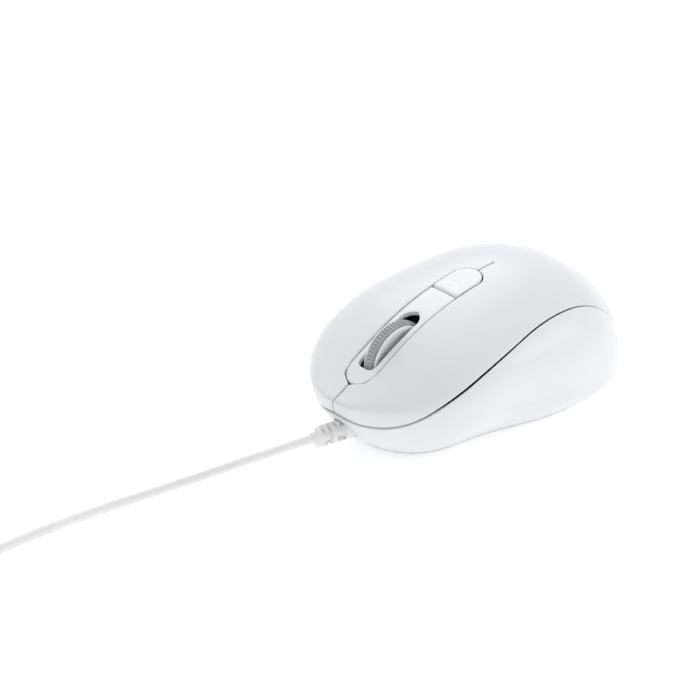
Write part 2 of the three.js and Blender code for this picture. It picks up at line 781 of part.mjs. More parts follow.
function keySwitch(side) {
  const { x, y, front, width, length, height, corner } = KEY_SWITCH;
  const centre = side * x;
  const top = KEY_BOARD_SEAT + height;
  const outline = roundedRectangle(
    centre - width / 2,
    centre + width / 2,
    y - front,
    y - front + length,
    corner,
    2,
  );
  return prism(outline, KEY_BOARD_SEAT, top)
    .subtract(post(centre, y, PLUNGER_RADIUS + GAP, top - PLUNGER_WELL, top + 1));
}

function keyPlunger(side) {
  const { x, y, height } = KEY_SWITCH;
  const top = KEY_BOARD_SEAT + height;
  return post(side * x, y, PLUNGER_RADIUS, top - PLUNGER_FOOT, top + PLUNGER_PROUD, 12);
}

function opticalSensor() {
  const { half, halfLength, height } = SENSOR;
  const [y0, y1] = [OPTIC_Y - halfLength, OPTIC_Y + halfLength];
  return box(-half, half, y0, y1, MAIN_BOARD_SEAT, MAIN_BOARD_SEAT + height);
}

function opticLens() {
  const { half, front, rear, corner } = LENS_PLATE;
  const outline = roundedRectangle(-half, half, OPTIC_Y - front, OPTIC_Y + rear, corner);
  const { radius, bottom, top } = LENS_BARREL;
  return prism(outline, BASE_HEIGHT + FLOOR_WALL + GAP, MAIN_BOARD_BOTTOM - GAP)
    .add(post(0, OPTIC_Y, radius, bottom, top));
}

function indicatorLamp() {
  const { radius, length, behind, lift } = LAMP;
  const geometry = new THREE.CapsuleGeometry(radius, length, 4, 12);
  geometry.translate(0, OPTIC_Y + behind, MAIN_BOARD_SEAT + lift);
  return toManifold(geometry);
}

// An open-bottomed cap that holds the lamp and the sensor down.
function lampClip() {
  const { half, front, rear, height, side, end, back, roof } = LAMP_CLIP;
  const [y0, y1] = [OPTIC_Y - front, OPTIC_Y + rear];
  const top = MAIN_BOARD_SEAT + height;
  return box(-half, half, y0, y1, MAIN_BOARD_SEAT, top)
    .subtract(box(side - half, half - side, y0 + end, y1 - back, 0, top - roof));
}

function controllerChip() {
  const { x0, x1, y0, y1, height } = CHIP;
  return box(x0, x1, y0, y1, MAIN_BOARD_SEAT, MAIN_BOARD_SEAT + height);
}

function capacitor() {
  const { x, y, radius, height } = CAPACITOR;
  return post(x, y, radius, MAIN_BOARD_SEAT, MAIN_BOARD_SEAT + height, 16);
}

function leadSocket() {
  const { x0, x1, y0, y1, height } = SOCKET;
  return box(x0, x1, y0, y1, MAIN_BOARD_SEAT, MAIN_BOARD_SEAT + height);
}

// ---------------------------------------------------------------- cable

// Strain relief, turned about its own axis, which leaves the nose a little to the right.
function reliefAxis(geometry) {
  geometry.rotateX(Math.PI);
  geometry.rotateZ(-THREE.MathUtils.degToRad(RELIEF_YAW));
  geometry.translate(...RELIEF_ROOT);
  return toManifold(geometry);
}

function reliefBore() {
  const { radius, length } = RELIEF_BORE;
  return reliefAxis(new THREE.CylinderGeometry(radius, radius, length, 24));
}

// A flange inside the nose, a neck through the bore, and three ribs outside that let it bend.
function strainRelief() {
  return reliefAxis(turned([
    [0, -RELIEF_INSIDE],
    [3.5, -RELIEF_INSIDE],
    [3.5, -7.2],
    [2.5, -7.2],
    [2.5, 0.9],
    [2.9, 1.2],
    [2.9, 2.4],
    [2.2, 2.6],
    [2.2, 3.3],
    [3, 3.5],
    [3, 5.1],
    [2.2, 5.3],
    [2.2, 5.9],
    [2.9, 6.1],
    [2.8, 7.7],
    [2, 8],
    [1.9, RELIEF_LENGTH],
    [0, RELIEF_LENGTH],
  ], 20));
}

// A round cord of a few flat sides swept along a smooth curve.
function cordTube(points, steps) {
  const sides = 8;
  const circle = [];
  for (let i = 0; i < sides; i += 1) {
    const angle = 2 * Math.PI * (i + 0.5) / sides;
    circle.push(new THREE.Vector2(CORD_RADIUS * Math.cos(angle), CORD_RADIUS * Math.sin(angle)));
  }
  const knots = points.map((p) => new THREE.Vector3(...p));
  const path = new THREE.CatmullRomCurve3(knots, false, 'centripetal');
  const options = { steps, extrudePath: path, bevelEnabled: false };
  return toManifold(new THREE.ExtrudeGeometry(new THREE.Shape(circle), options));
}

function reliefPoint(s) {
  const yaw = THREE.MathUtils.degToRad(RELIEF_YAW);
  const [x, y, z] = RELIEF_ROOT;
  return [x - s * Math.sin(yaw), y - s * Math.cos(yaw), z];
}

// From the relief down to the surface, ahead of the mouse, and up to the outside of the coil.
const LEAD_ROUTE = [
  reliefPoint(RELIEF_LENGTH + GAP),
  reliefPoint(RELIEF_LENGTH + 4),
  [-4.7, -68.5, 9.2],
  [-8, -75.2, 7.8],
  [-12, -82.2, 5.8],
  [-16.1, -89.8, 3.9],
  [-20, -98.4, 2.3],
  [-23.1, -107.6, 1.5],
  [-25.1, -118, CORD_HEIGHT],
  [-26.5, -128, CORD_HEIGHT],
  [-27.5, -137, CORD_HEIGHT],
  [-28.1, -146, CORD_HEIGHT],
  [-28.5, -154.5, CORD_HEIGHT + 0.3],
];

// From the outside of the coil, round and down to the plug that lies beside it.
const TAIL_ROUTE = [
  [-64.4, -179.9, 7.6],
  [-71.2, -176, 5.4],
  [-75.6, -169.6, 4],
  [-77.2, -163, PLUG_LEVEL],
  [PLUG_X, PLUG_BACK - GAP, PLUG_LEVEL],
];

function cordLead() {
  return cordTube(LEAD_ROUTE, 42);
}

function innerLead() {
  const level = MAIN_BOARD_BOTTOM + BOARD_THICKNESS + GAP + 2;
  const points = [
    reliefPoint(-RELIEF_INSIDE - GAP),
    reliefPoint(-RELIEF_INSIDE - 2),
    [0.4, -37.2, 10.2],
    [-4, -36.2, 10.1],
    [-8.4, -35.8, 9.6],
    [-10.7, -34.2, level],
    [-11, SOCKET.y0 - 1.5, level],
    [-11, SOCKET.y0 - GAP, level],
  ];
  return cordTube(points, 12);
}

function cordTail() {
  return cordTube(TAIL_ROUTE, 9);
}

function cordCoil() {
  const geometry = turned([
    [COIL_INNER, COIL_BOTTOM + COIL_CORNER],
    [COIL_INNER + COIL_CORNER, COIL_BOTTOM],
    [COIL_OUTER - COIL_CORNER, COIL_BOTTOM],
    [COIL_OUTER, COIL_BOTTOM + COIL_CORNER],
    [COIL_OUTER, COIL_TOP - COIL_CORNER],
    [COIL_OUTER - COIL_CORNER, COIL_TOP],
    [COIL_INNER + COIL_CORNER, COIL_TOP],
    [COIL_INNER, COIL_TOP - COIL_CORNER],
    [COIL_INNER, COIL_BOTTOM + COIL_CORNER],
  ], 32);
  geometry.rotateX(Math.PI / 2);
  geometry.translate(...COIL_CENTRE);
  return toManifold(geometry);
}

// A flat strap round the coil's turns, on the side nearest the mouse.
function coilTie() {
  const [x, y] = COIL_CENTRE;
  const { width, inner, outer, wall, bottom } = TIE;
  const [y0, y1] = [y + COIL_INNER - inner, y + COIL_OUTER + outer];
  return box(x - width / 2, x + width / 2, y0 - wall, y1 + wall, bottom, COIL_TOP + GAP + wall)
    .subtract(box(x - width, x + width, y0, y1, COIL_BOTTOM - GAP, COIL_TOP + GAP));
}

function plugBody() {
  const x0 = PLUG_X - PLUG_WIDTH / 2;
  const z0 = PLUG_LEVEL - PLUG_HEIGHT / 2;
  const outline = roundedRectangle(x0, x0 + PLUG_WIDTH, PLUG_BACK, PLUG_BACK + PLUG_LENGTH, PLUG_CORNER);
  return prism(outline, z0, z0 + PLUG_HEIGHT);
}

function plugShell() {
  const { width, height, length, wall } = CONTACT_SHELL;
  const y0 = PLUG_BACK + PLUG_LENGTH + GAP;
  const [x0, x1] = [PLUG_X - width / 2, PLUG_X + width / 2];
  const [z0, z1] = [PLUG_LEVEL - height / 2, PLUG_LEVEL + height / 2];
  return box(x0, x1, y0, y0 + length, z0, z1)
    .subtract(box(x0 + wall, x1 - wall, y0 + wall, y0 + length + 1, z0 + wall, z1 - wall));
}

function plugTongue() {
  const { width, height, length, wall } = CONTACT_SHELL;
  const y0 = PLUG_BACK + PLUG_LENGTH + GAP + wall + GAP;
  const half = width / 2 - wall - GAP;
  const z0 = PLUG_LEVEL - height / 2 + wall + GAP;
  return box(PLUG_X - half, PLUG_X + half, y0, y0 + length - TONGUE.setBack, z0, z0 + TONGUE.thickness);
}

// ---------------------------------------------------------------- the assembly

const mouse = new THREE.Group();

function addPiece(name, solid, material) {
  const mesh = new THREE.Mesh(toGeometry(solid), material);
  mesh.name = name;
  mouse.add(mesh);
}

addPiece('bottom_case', bottomCase(), glossWhite);
addPiece('palm_cover', palmCover(), shellWhite);
addPiece('left_key', key(1), shellWhite);
addPiece('right_key', key(-1), shellWhite);
addPiece('wheel_bezel', wheelBezel(), glossWhite);
addPiece('small_button', smallButton(), glossWhite);
addPiece('small_button_switch', smallSwitch(), partBlack);
addPiece('small_button_plunger', smallPlunger(), steel);
addPiece('foot_front', foot(FRONT_FOOT), glideGrey);
addPiece('foot_rear', foot(REAR_FOOT), glideGrey);
addPiece('base_label', baseLabel(), cordWhite);
screwPlaces().forEach(([x, y], i) => {
  const name = ['screw_front', 'screw_rear_left', 'screw_rear_right'][i];
  addPiece(name, screw().translate([x, y, 0]), steel);
});
addPiece('wheel_hub', wheelHub(), glossWhite);
addPiece('wheel_tyre', wheelTyre(), rubberGrey);
addPiece('wheel_yoke', wheelYoke(), partBlack);
addPiece('wheel_guide', wheelGuide(), partBlack);
addPiece('scroll_encoder', scrollEncoder(), partBlack);
addPiece('middle_switch', middleSwitch(), partBlack);
addPiece('middle_plunger', middlePlunger(), steel);
addPiece('left_switch', keySwitch(1), partBlack);
addPiece('right_switch', keySwitch(-1), partBlack);
addPiece('left_plunger', keyPlunger(1), steel);
addPiece('right_plunger', keyPlunger(-1), steel);
addPiece('main_board', mainBoard(), boardGreen);
addPiece('key_board', keyBoard(), boardGreen);
addPiece('board_link', boardLink(), partBlack);
addPiece('optical_sensor', opticalSensor(), partBlack);
addPiece('optic_lens', opticLens(), clearPlastic);
addPiece('lamp', indicatorLamp(), clearPlastic);
addPiece('lamp_clip', lampClip(), partBlack);
addPiece('controller_chip', controllerChip(), partBlack);
addPiece('capacitor', capacitor(), partBlack);
addPiece('lead_socket', leadSocket(), glossWhite);
addPiece('inner_lead', innerLead(), cordWhite);
addPiece('strain_relief', strainRelief(), cordWhite);
addPiece('cord_lead', cordLead(), cordWhite);
addPiece('cord_coil', cordCoil(), cordWhite);
addPiece('coil_tie', coilTie(), partBlack);
addPiece('cord_tail', cordTail(), cordWhite);
addPiece('plug_body', plugBody(), cordWhite);
addPiece('plug_shell', plugShell(), steel);
addPiece('plug_tongue', plugTongue(), glossWhite);

export default mouse;
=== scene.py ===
"""Looks of a compact corded computer mouse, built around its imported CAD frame.

Shapes are worked out in millimetres and put down in metres.
+Z is up, the cable end is -Y, the thumb side is +X.
"""

import json
import math

import bmesh
import bpy
import numpy as np
from mathutils import Matrix, Vector
from mathutils.geometry import delaunay_2d_cdt


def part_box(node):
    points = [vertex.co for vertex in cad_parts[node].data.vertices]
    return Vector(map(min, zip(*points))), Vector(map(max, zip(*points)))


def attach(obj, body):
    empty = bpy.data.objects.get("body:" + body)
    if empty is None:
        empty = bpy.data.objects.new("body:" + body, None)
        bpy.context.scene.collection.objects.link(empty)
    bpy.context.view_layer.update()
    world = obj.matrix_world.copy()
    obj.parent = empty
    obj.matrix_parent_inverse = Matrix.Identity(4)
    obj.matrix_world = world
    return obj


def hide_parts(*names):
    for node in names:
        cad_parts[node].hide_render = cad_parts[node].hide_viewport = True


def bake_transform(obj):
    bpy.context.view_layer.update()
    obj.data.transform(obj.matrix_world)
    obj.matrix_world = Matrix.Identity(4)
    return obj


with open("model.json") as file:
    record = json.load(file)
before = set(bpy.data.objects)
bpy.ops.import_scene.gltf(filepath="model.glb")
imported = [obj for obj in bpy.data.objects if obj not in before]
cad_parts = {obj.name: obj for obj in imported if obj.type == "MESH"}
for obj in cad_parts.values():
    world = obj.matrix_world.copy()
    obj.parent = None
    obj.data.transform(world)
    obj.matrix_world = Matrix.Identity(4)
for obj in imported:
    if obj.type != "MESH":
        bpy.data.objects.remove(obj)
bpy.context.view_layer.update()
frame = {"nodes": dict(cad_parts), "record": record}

MM = 0.001

# ---------------------------------------------------------------- driving dimensions, in millimetres

HALF_LENGTH = 51
HALF_WIDTH = 33
CREST_HEIGHT = 39.8
STATIONS = (-51, -25, 5, 30, 51)
PLAN_FACTORS = (0.75, 1.02, 1.002, 1.019, 1.038)
CREST_FACTORS = (0.55, 0.855, 1.006, 0.972, 0.8)
SECTION_EXPONENT = 2.04
DOME_EXPONENT = 2.75
PLAN_END_FRONT = 2.9
PLAN_END_REAR = 2.62
SIDE_END_FRONT = 3.4
SIDE_END_REAR = 3.285
BELT_HEIGHT = 11.5
BELT_SLOPE = -8.5
TUCK = 0.665
CHIN_TUCK = 0.49
TUCK_EXPONENT = 1.77
WAIST_DEPTH = 0.29
WAIST_STATION = -14.6
WAIST_SPREAD = 19
WAIST_TOP = 37
WAIST_FADE = 1.6
BASE_HEIGHT = 1
WALL = 1.6

SEAM_STATIONS = (-51, -49.5, -47, -44, -40, -35, -28, -18, -6, 6, 16, 26, 34, 40, 46, 51)
SEAM_HEIGHTS = (
    16.4, 14.75, 13.9, 14.5, 16.7, 20.1, 23.85, 27.75,
    30.6, 32.25, 32.25, 29.95, 24.95, 18.6, 12.4, 8.6,
)
SEAM_GAP_FRONT = 0.8
SEAM_GAP_REAR = 0.3
SEAM_GAP_START = -46
SEAM_GAP_END = -5

CUT_LINE = 12.15
SLIT_HALF = 0.25
SEAM_LIP = 0.5
SLIT_LIP = 0.28

STRIP_FRONT = -43.9
STRIP_NOSE = 5.4
STRIP_HALF_FRONT = 4.85
STRIP_HALF_REAR = 4.7
STRIP_REAR = -7.8
STRIP_THICKNESS = 1.4
STRIP_INSET = 0.2
CHANNEL_GAP = 0.45
CHANNEL_POINT = -44.7
CHANNEL_CORNER = (4.3, -42.5)
BUTTON_FRONT = -7.5
BUTTON_REAR = 5.4
BUTTON_PROUD = 0.2

WHEEL_CENTRE = (0, -26.6, 24.5)
SLOT_HALF_WIDTH = 3.1
SLOT_FRONT = -38.9
SLOT_REAR = -17.9

RELIEF_ROOT = (0.6, -48.6, 10.2)
RELIEF_YAW = math.radians(12)
RELIEF_LENGTH = 9.2
CORD_RADIUS = 1.3
CORD_HEIGHT = 1.35

HEART = np.array([0.0, 0.0, 11.0])

# ---------------------------------------------------------------- camera

CAMERA_AZIMUTH = math.radians(46.3)
CAMERA_ELEVATION = math.radians(29.9)
CAMERA_DISTANCE = 1.566
CAMERA_TARGET = Vector((-0.0426, -0.0034, 0))
CAMERA_LENS = 278


def add_camera():
    back = Vector((
        math.sin(CAMERA_AZIMUTH) * math.cos(CAMERA_ELEVATION),
        -math.cos(CAMERA_AZIMUTH) * math.cos(CAMERA_ELEVATION),
        math.sin(CAMERA_ELEVATION),
    ))
    data = bpy.data.cameras.new("camera")
    data.lens = CAMERA_LENS
    data.sensor_width = 36
    data.clip_start = 0.05
    data.clip_end = 50
    camera = bpy.data.objects.new("camera", data)
    camera.location = CAMERA_TARGET + back * CAMERA_DISTANCE
    camera.rotation_mode = "QUATERNION"
    camera.rotation_quaternion = (-back).to_track_quat("-Z", "Y")
    bpy.context.scene.collection.objects.link(camera)
    bpy.context.scene.camera = camera


add_camera()

# ---------------------------------------------------------------- cord


def relief_point(s):
    x, y, z = RELIEF_ROOT
    return (x - s * math.sin(RELIEF_YAW), y - s * math.cos(RELIEF_YAW), z)


LEAD_ROUTE = [
    relief_point(RELIEF_LENGTH - 1.2),
    relief_point(RELIEF_LENGTH + 1.4),
    relief_point(RELIEF_LENGTH + 4),
    (-4.7, -68.5, 9.2),
    (-8, -75.2, 7.8),
    (-12, -82.2, 5.8),
    (-16.1, -89.8, 3.9),
    (-20, -98.4, 2.3),
    (-23.1, -107.6, 1.5),
    (-25.1, -118, CORD_HEIGHT),
    (-26.5, -128, CORD_HEIGHT),
    (-27.5, -137, CORD_HEIGHT),
    (-28.1, -146, CORD_HEIGHT),
    (-28.5, -154.5, CORD_HEIGHT + 0.3),
]
TAIL_ROUTE = [
    (-64.4, -179.9, 7.6),
    (-71.2, -176, 5.4),
    (-75.6, -169.6, 4),
    (-77.2, -163, 3.8),
    (-77.3, -160.3, 3.8),
    (-77.3, -158, 3.8),
]
COIL_CENTRE = (-48.3, -164)
COIL_RADIUS = 19.05
COIL_PITCH = 2.62
COIL_FIRST_LEVEL = 1.8
COIL_LAYERS = 4
COIL_TURNS = 15.306
COIL_STEPS = 18
LAYER_CLIMB = 0.2


def coil_points():
    """Four flat layers wound inwards and outwards in turn, each climbing onto the last at its end."""
    points = []
    total = int(COIL_TURNS * COIL_STEPS)
    per_layer = COIL_TURNS / COIL_LAYERS
    for i in range(1, total + 1):
        turns = COIL_TURNS * i / total
        layer = min(int(turns / per_layer), COIL_LAYERS - 1)
        within = turns - layer * per_layer
        shrink = within if layer % 2 == 0 else per_layer - within
        radius = COIL_RADIUS - COIL_PITCH * shrink
        near_end = (within - (per_layer - LAYER_CLIMB)) / (2 * LAYER_CLIMB)
        near_start = (within + LAYER_CLIMB) / (2 * LAYER_CLIMB)
        level = float(layer)
        if layer < COIL_LAYERS - 1 and near_end > 0:
            level += near_end * near_end * (3 - 2 * near_end)
        if layer > 0 and near_start < 1:
            level += near_start * near_start * (3 - 2 * near_start) - 1
        angle = -2 * math.pi * turns
        points.append((
            COIL_CENTRE[0] + radius * math.cos(angle),
            COIL_CENTRE[1] + radius * math.sin(angle),
            COIL_FIRST_LEVEL + COIL_PITCH * level,
        ))
    return points


def smooth_curve(name, points, radius):
    """A round cord along a smooth line through the points."""
    data = bpy.data.curves.new(name, "CURVE")
    data.dimensions = "3D"
    data.bevel_depth = radius * MM
    data.bevel_resolution = 5
    data.resolution_u = 5
    data.use_fill_caps = True
    line = data.splines.new("BEZIER")
    line.bezier_points.add(len(points) - 1)
    for knot, point in zip(line.bezier_points, points):
        knot.co = Vector(point) * MM
        knot.handle_left_type = "AUTO"
        knot.handle_right_type = "AUTO"
    piece = bpy.data.objects.new(name, data)
    bpy.context.scene.collection.objects.link(piece)
    return piece


cord = smooth_curve("cord", LEAD_ROUTE + coil_points() + TAIL_ROUTE, CORD_RADIUS)

# ---------------------------------------------------------------- materials


def group_tree(name, inputs, outputs):
    tree = bpy.data.node_groups.new(name, "ShaderNodeTree")
    for label, kind, value in inputs:
        socket = tree.interface.new_socket(label, in_out="INPUT", socket_type=kind)
        socket.default_value = value
    for label, kind in outputs:
        tree.interface.new_socket(label, in_out="OUTPUT", socket_type=kind)
    start = tree.nodes.new("NodeGroupInput")
    end = tree.nodes.new("NodeGroupOutput")
    return tree, start, end


def noise(tree, vector, scale, detail=2.0):
    node = tree.nodes.new("ShaderNodeTexNoise")
    node.inputs["Detail"].default_value = detail
    tree.links.new(vector, node.inputs["Vector"])
    if isinstance(scale, (int, float)):
        node.inputs["Scale"].default_value = scale
    else:
        tree.links.new(scale, node.inputs["Scale"])
    return node.outputs["Fac"]


def value_range(tree, value, low, high):
    """Noise in its usual span, spread between two values, which may be sockets."""
    node = tree.nodes.new("ShaderNodeMapRange")
    node.inputs["From Min"].default_value = 0.3
    node.inputs["From Max"].default_value = 0.7
    tree.links.new(value, node.inputs["Value"])
    for socket, given in (("To Min", low), ("To Max", high)):
        if isinstance(given, (int, float)):
            node.inputs[socket].default_value = given
        else:
            tree.links.new(given, node.inputs[socket])
    return node.outputs["Result"]


def blend_colours(tree, factor, first, second):
    node = tree.nodes.new("ShaderNodeMix")
    node.data_type = "RGBA"
    tree.links.new(factor, node.inputs[0])
    tree.links.new(first, node.inputs[6])
    tree.links.new(second, node.inputs[7])
    return node.outputs[2]


def moulded_grain():
    """Two tones that drift slowly over the part, with a fine tool texture."""
    tree, start, end = group_tree(
        "moulded_grain",
        [
            ("Light", "NodeSocketColor", (0.8, 0.8, 0.8, 1)),
            ("Dark", "NodeSocketColor", (0.7, 0.7, 0.7, 1)),
            ("Patch Scale", "NodeSocketFloat", 60.0),
            ("Grain Scale", "NodeSocketFloat", 3000.0),
            ("Rough Low", "NodeSocketFloat", 0.3),
            ("Rough High", "NodeSocketFloat", 0.4),
        ],
        [("Color", "NodeSocketColor"), ("Roughness", "NodeSocketFloat"), ("Height", "NodeSocketFloat")],
    )
    place = tree.nodes.new("ShaderNodeTexCoord").outputs["Object"]
    patch = noise(tree, place, start.outputs["Patch Scale"], 3.0)
    spread = value_range(tree, patch, 0.0, 1.0)
    colour = blend_colours(tree, spread, start.outputs["Light"], start.outputs["Dark"])
    grain = noise(tree, place, start.outputs["Grain Scale"], 3.0)
    tree.links.new(colour, end.inputs["Color"])
    tree.links.new(
        value_range(tree, grain, start.outputs["Rough Low"], start.outputs["Rough High"]),
        end.inputs["Roughness"],
    )
    tree.links.new(grain, end.inputs["Height"])
    return tree


def painted_edge_highlight():
    """Rounded edges painted a little lighter than the faces, a painted highlight, and made smoother."""
    tree, start, end = group_tree(
        "painted_edge_highlight",
        [
            ("Color", "NodeSocketColor", (0.8, 0.8, 0.8, 1)),
            ("Edge Color", "NodeSocketColor", (0.9, 0.9, 0.9, 1)),
            ("Roughness", "NodeSocketFloat", 0.4),
            ("Edge Roughness", "NodeSocketFloat", 0.2),
            ("Amount", "NodeSocketFloat", 0.6),
        ],
        [("Color", "NodeSocketColor"), ("Roughness", "NodeSocketFloat")],
    )
    edge = tree.nodes.new("ShaderNodeAttribute")
    edge.attribute_name = "edge"
    place = tree.nodes.new("ShaderNodeTexCoord").outputs["Object"]
    uneven = value_range(tree, noise(tree, place, 420.0, 3.0), 0.55, 1.0)
    share = tree.nodes.new("ShaderNodeMath")
    share.operation = "MULTIPLY"
    tree.links.new(edge.outputs["Fac"], share.inputs[0])
    tree.links.new(uneven, share.inputs[1])
    amount = tree.nodes.new("ShaderNodeMath")
    amount.operation = "MULTIPLY"
    tree.links.new(share.outputs[0], amount.inputs[0])
    tree.links.new(start.outputs["Amount"], amount.inputs[1])
    colour = blend_colours(tree, amount.outputs[0], start.outputs["Color"], start.outputs["Edge Color"])
    rough = tree.nodes.new("ShaderNodeMix")
    tree.links.new(amount.outputs[0], rough.inputs[0])
    tree.links.new(start.outputs["Roughness"], rough.inputs[2])
    tree.links.new(start.outputs["Edge Roughness"], rough.inputs[3])
    tree.links.new(colour, end.inputs["Color"])
    tree.links.new(rough.outputs[0], end.inputs["Roughness"])
    return tree


GRAIN = moulded_grain()
EDGES = painted_edge_highlight()


def rgba(colour):
    return (*colour, 1.0)


def surface(name, light, dark, rough, grain_scale, bump, patch_scale=60.0, edge=None, metallic=0.0,
            coat=0.0, transmission=0.0, specular=0.5):
    """A moulded or metal finish: tones and roughness from the grain group, and a painted highlight on edges
    where marked.
    """
    material = bpy.data.materials.new(name)
    material.use_nodes = True
    tree = material.node_tree
    shader = tree.nodes["Principled BSDF"]
    shader.inputs["Metallic"].default_value = metallic
    shader.inputs["Coat Weight"].default_value = coat
    shader.inputs["Coat Roughness"].default_value = 0.08
    shader.inputs["Transmission Weight"].default_value = transmission
    shader.inputs["Specular IOR Level"].default_value = specular
    grain = tree.nodes.new("ShaderNodeGroup")
    grain.node_tree = GRAIN
    grain.inputs["Light"].default_value = rgba(light)
    grain.inputs["Dark"].default_value = rgba(dark)
    grain.inputs["Patch Scale"].default_value = patch_scale
    grain.inputs["Grain Scale"].default_value = grain_scale
    grain.inputs["Rough Low"].default_value = rough[0]
    grain.inputs["Rough High"].default_value = rough[1]
    colour, roughness = grain.outputs["Color"], grain.outputs["Roughness"]
    # Marked rounded edges get a lighter colour, which is a painted highlight, and a smoother roughness.
    if edge:
        highlighted = tree.nodes.new("ShaderNodeGroup")
        highlighted.node_tree = EDGES
        highlighted.inputs["Edge Color"].default_value = rgba(edge)
        highlighted.inputs["Edge Roughness"].default_value = rough[0] * 0.6
        tree.links.new(colour, highlighted.inputs["Color"])
        tree.links.new(roughness, highlighted.inputs["Roughness"])
        colour, roughness = highlighted.outputs["Color"], highlighted.outputs["Roughness"]
    tree.links.new(colour, shader.inputs["Base Color"])
    tree.links.new(roughness, shader.inputs["Roughness"])
    height = tree.nodes.new("ShaderNodeBump")
    height.inputs["Strength"].default_value = bump
    height.inputs["Distance"].default_value = 0.0001
    tree.links.new(grain.outputs["Height"], height.inputs["Height"])
    tree.links.new(height.outputs["Normal"], shader.inputs["Normal"])
    return material


# The lighter edge colours given here are painted highlights on the rounded edges.
SATIN_WHITE = surface("satin_white", (0.78, 0.785, 0.80), (0.755, 0.76, 0.78), (0.34, 0.42), 3200.0, 0.12,
                      patch_scale=45.0, edge=(0.86, 0.865, 0.875))
CASE_WHITE = surface("case_white", (0.81, 0.813, 0.822), (0.785, 0.789, 0.80), (0.3, 0.38), 1900.0, 0.08,
                     patch_scale=40.0, edge=(0.88, 0.88, 0.89), coat=0.06, specular=0.4)
TYRE_GREY = surface("tyre_grey", (0.46, 0.457, 0.48), (0.40, 0.397, 0.42), (0.5, 0.65), 2600.0, 0.3,
                    patch_scale=500.0)
JACKET_WHITE = surface("jacket_white", (0.84, 0.835, 0.825), (0.80, 0.795, 0.785), (0.38, 0.5), 1800.0, 0.2,
                       patch_scale=220.0)
MARK_WHITE = surface("mark_white", (0.92, 0.925, 0.93), (0.89, 0.895, 0.9), (0.4, 0.5), 3000.0, 0.05)
GLIDE_GREY = surface("glide_grey", (0.07, 0.072, 0.076), (0.05, 0.052, 0.056), (0.45, 0.6), 2400.0, 0.2,
                     patch_scale=300.0)
BOARD_GREEN = surface("board_green", (0.03, 0.15, 0.055), (0.015, 0.09, 0.03), (0.25, 0.4), 900.0, 0.2,
                      patch_scale=700.0, coat=0.2)
MOULDED_BLACK = surface("moulded_black", (0.022, 0.022, 0.024), (0.015, 0.015, 0.017), (0.4, 0.55),
                        2600.0, 0.25)
CLEAR_PLASTIC = surface("clear_plastic", (0.86, 0.93, 0.97), (0.82, 0.9, 0.95), (0.04, 0.1), 600.0, 0.03,
                        transmission=0.9)
PLATED_STEEL = surface("plated_steel", (0.66, 0.665, 0.68), (0.58, 0.585, 0.6), (0.18, 0.32), 1500.0, 0.1,
                       patch_scale=400.0, metallic=1.0)

SLOT_FINISH = {
    "shell": SATIN_WHITE,
    "case": CASE_WHITE,
    "tyre": TYRE_GREY,
    "cord": JACKET_WHITE,
    "glide": GLIDE_GREY,
    "board": BOARD_GREEN,
    "black": MOULDED_BLACK,
    "clear": CLEAR_PLASTIC,
    "steel": PLATED_STEEL,
}


def finish_cad_nodes():
    """Every CAD node takes the finish of its slot in the record."""
    for part in frame["record"]["subparts"]:
        node = frame["nodes"][part["node"]]
        node.data.materials.clear()
        node.data.materials.append(SLOT_FINISH[part["material_slot"]])


finish_cad_nodes()

# ---------------------------------------------------------------- body surface


def spline(xs, ys):
    """Natural cubic spline, held level past its ends."""
    xs, ys = np.array(xs, float), np.array(ys, float)
    count = len(xs)
    system, right = np.eye(count), np.zeros(count)
    for i in range(1, count - 1):
        before, after = xs[i] - xs[i - 1], xs[i + 1] - xs[i]
        system[i, i - 1:i + 2] = before / 6, (before + after) / 3, after / 6
        right[i] = (ys[i + 1] - ys[i]) / after - (ys[i] - ys[i - 1]) / before
    bend = np.linalg.solve(system, right)

    def value(x):
        x = np.clip(x, xs[0], xs[-1])
        k = np.clip(np.searchsorted(xs, x) - 1, 0, count - 2)
        span = xs[k + 1] - xs[k]
        s = (xs[k + 1] - x) / span
        t = 1 - s
        curl = (s ** 3 - s) * bend[k] + (t ** 3 - t) * bend[k + 1]
        return s * ys[k] + t * ys[k + 1] + curl * span * span / 6

    return value


plan_factor = spline(STATIONS, PLAN_FACTORS)
crest_factor = spline(STATIONS, CREST_FACTORS)
seam_height = spline(SEAM_STATIONS, SEAM_HEIGHTS)


def smooth_step(x, low, high):
    t = np.clip((x - low) / (high - low), 0, 1)
    return t * t * (3 - 2 * t)


def envelope(p, inset):
    """Below 1 inside the body, 1 on its skin."""
    x, y, z = p[..., 0], p[..., 1], p[..., 2]
    t = np.clip(y / (HALF_LENGTH - inset), -0.999999, 0.999999)
    station = t * HALF_LENGTH
    plan_end = np.where(t < 0, PLAN_END_FRONT, PLAN_END_REAR)
    side_end = np.where(t < 0, SIDE_END_FRONT, SIDE_END_REAR)
    low_share = np.clip((WAIST_TOP - z) / WAIST_TOP, 0, 1) ** WAIST_FADE
    waist = WAIST_DEPTH * np.exp(-((y - WAIST_STATION) / WAIST_SPREAD) ** 2) * low_share
    half_width = HALF_WIDTH * plan_factor(station) * (1 - waist) - inset
    crest = CREST_HEIGHT * crest_factor(station) - inset
    belt = BELT_HEIGHT + BELT_SLOPE * t
    plan = 1 - np.abs(t) ** plan_end
    side = 1 - np.abs(t) ** side_end
    chin = 1 + CHIN_TUCK * np.maximum(0, -t) ** 2
    up = np.maximum(0, (z - belt) / (crest - belt))
    down = np.maximum(0, (belt - z) / belt * TUCK * chin)
    return ((np.abs(x) / half_width) ** SECTION_EXPONENT / plan
            + up ** DOME_EXPONENT / side
            + down ** TUCK_EXPONENT / side)


def cast(start, direction, inset=0.0):
    """Where rays from inside the body meet its skin."""
    near = np.zeros(len(direction))
    far = np.full(len(direction), 90.0)
    for _ in range(36):
        mid = (near + far) / 2
        inside = envelope(start + direction * mid[:, None], inset) < 1
        near = np.where(inside, mid, near)
        far = np.where(inside, far, mid)
    return start + direction * near[:, None]


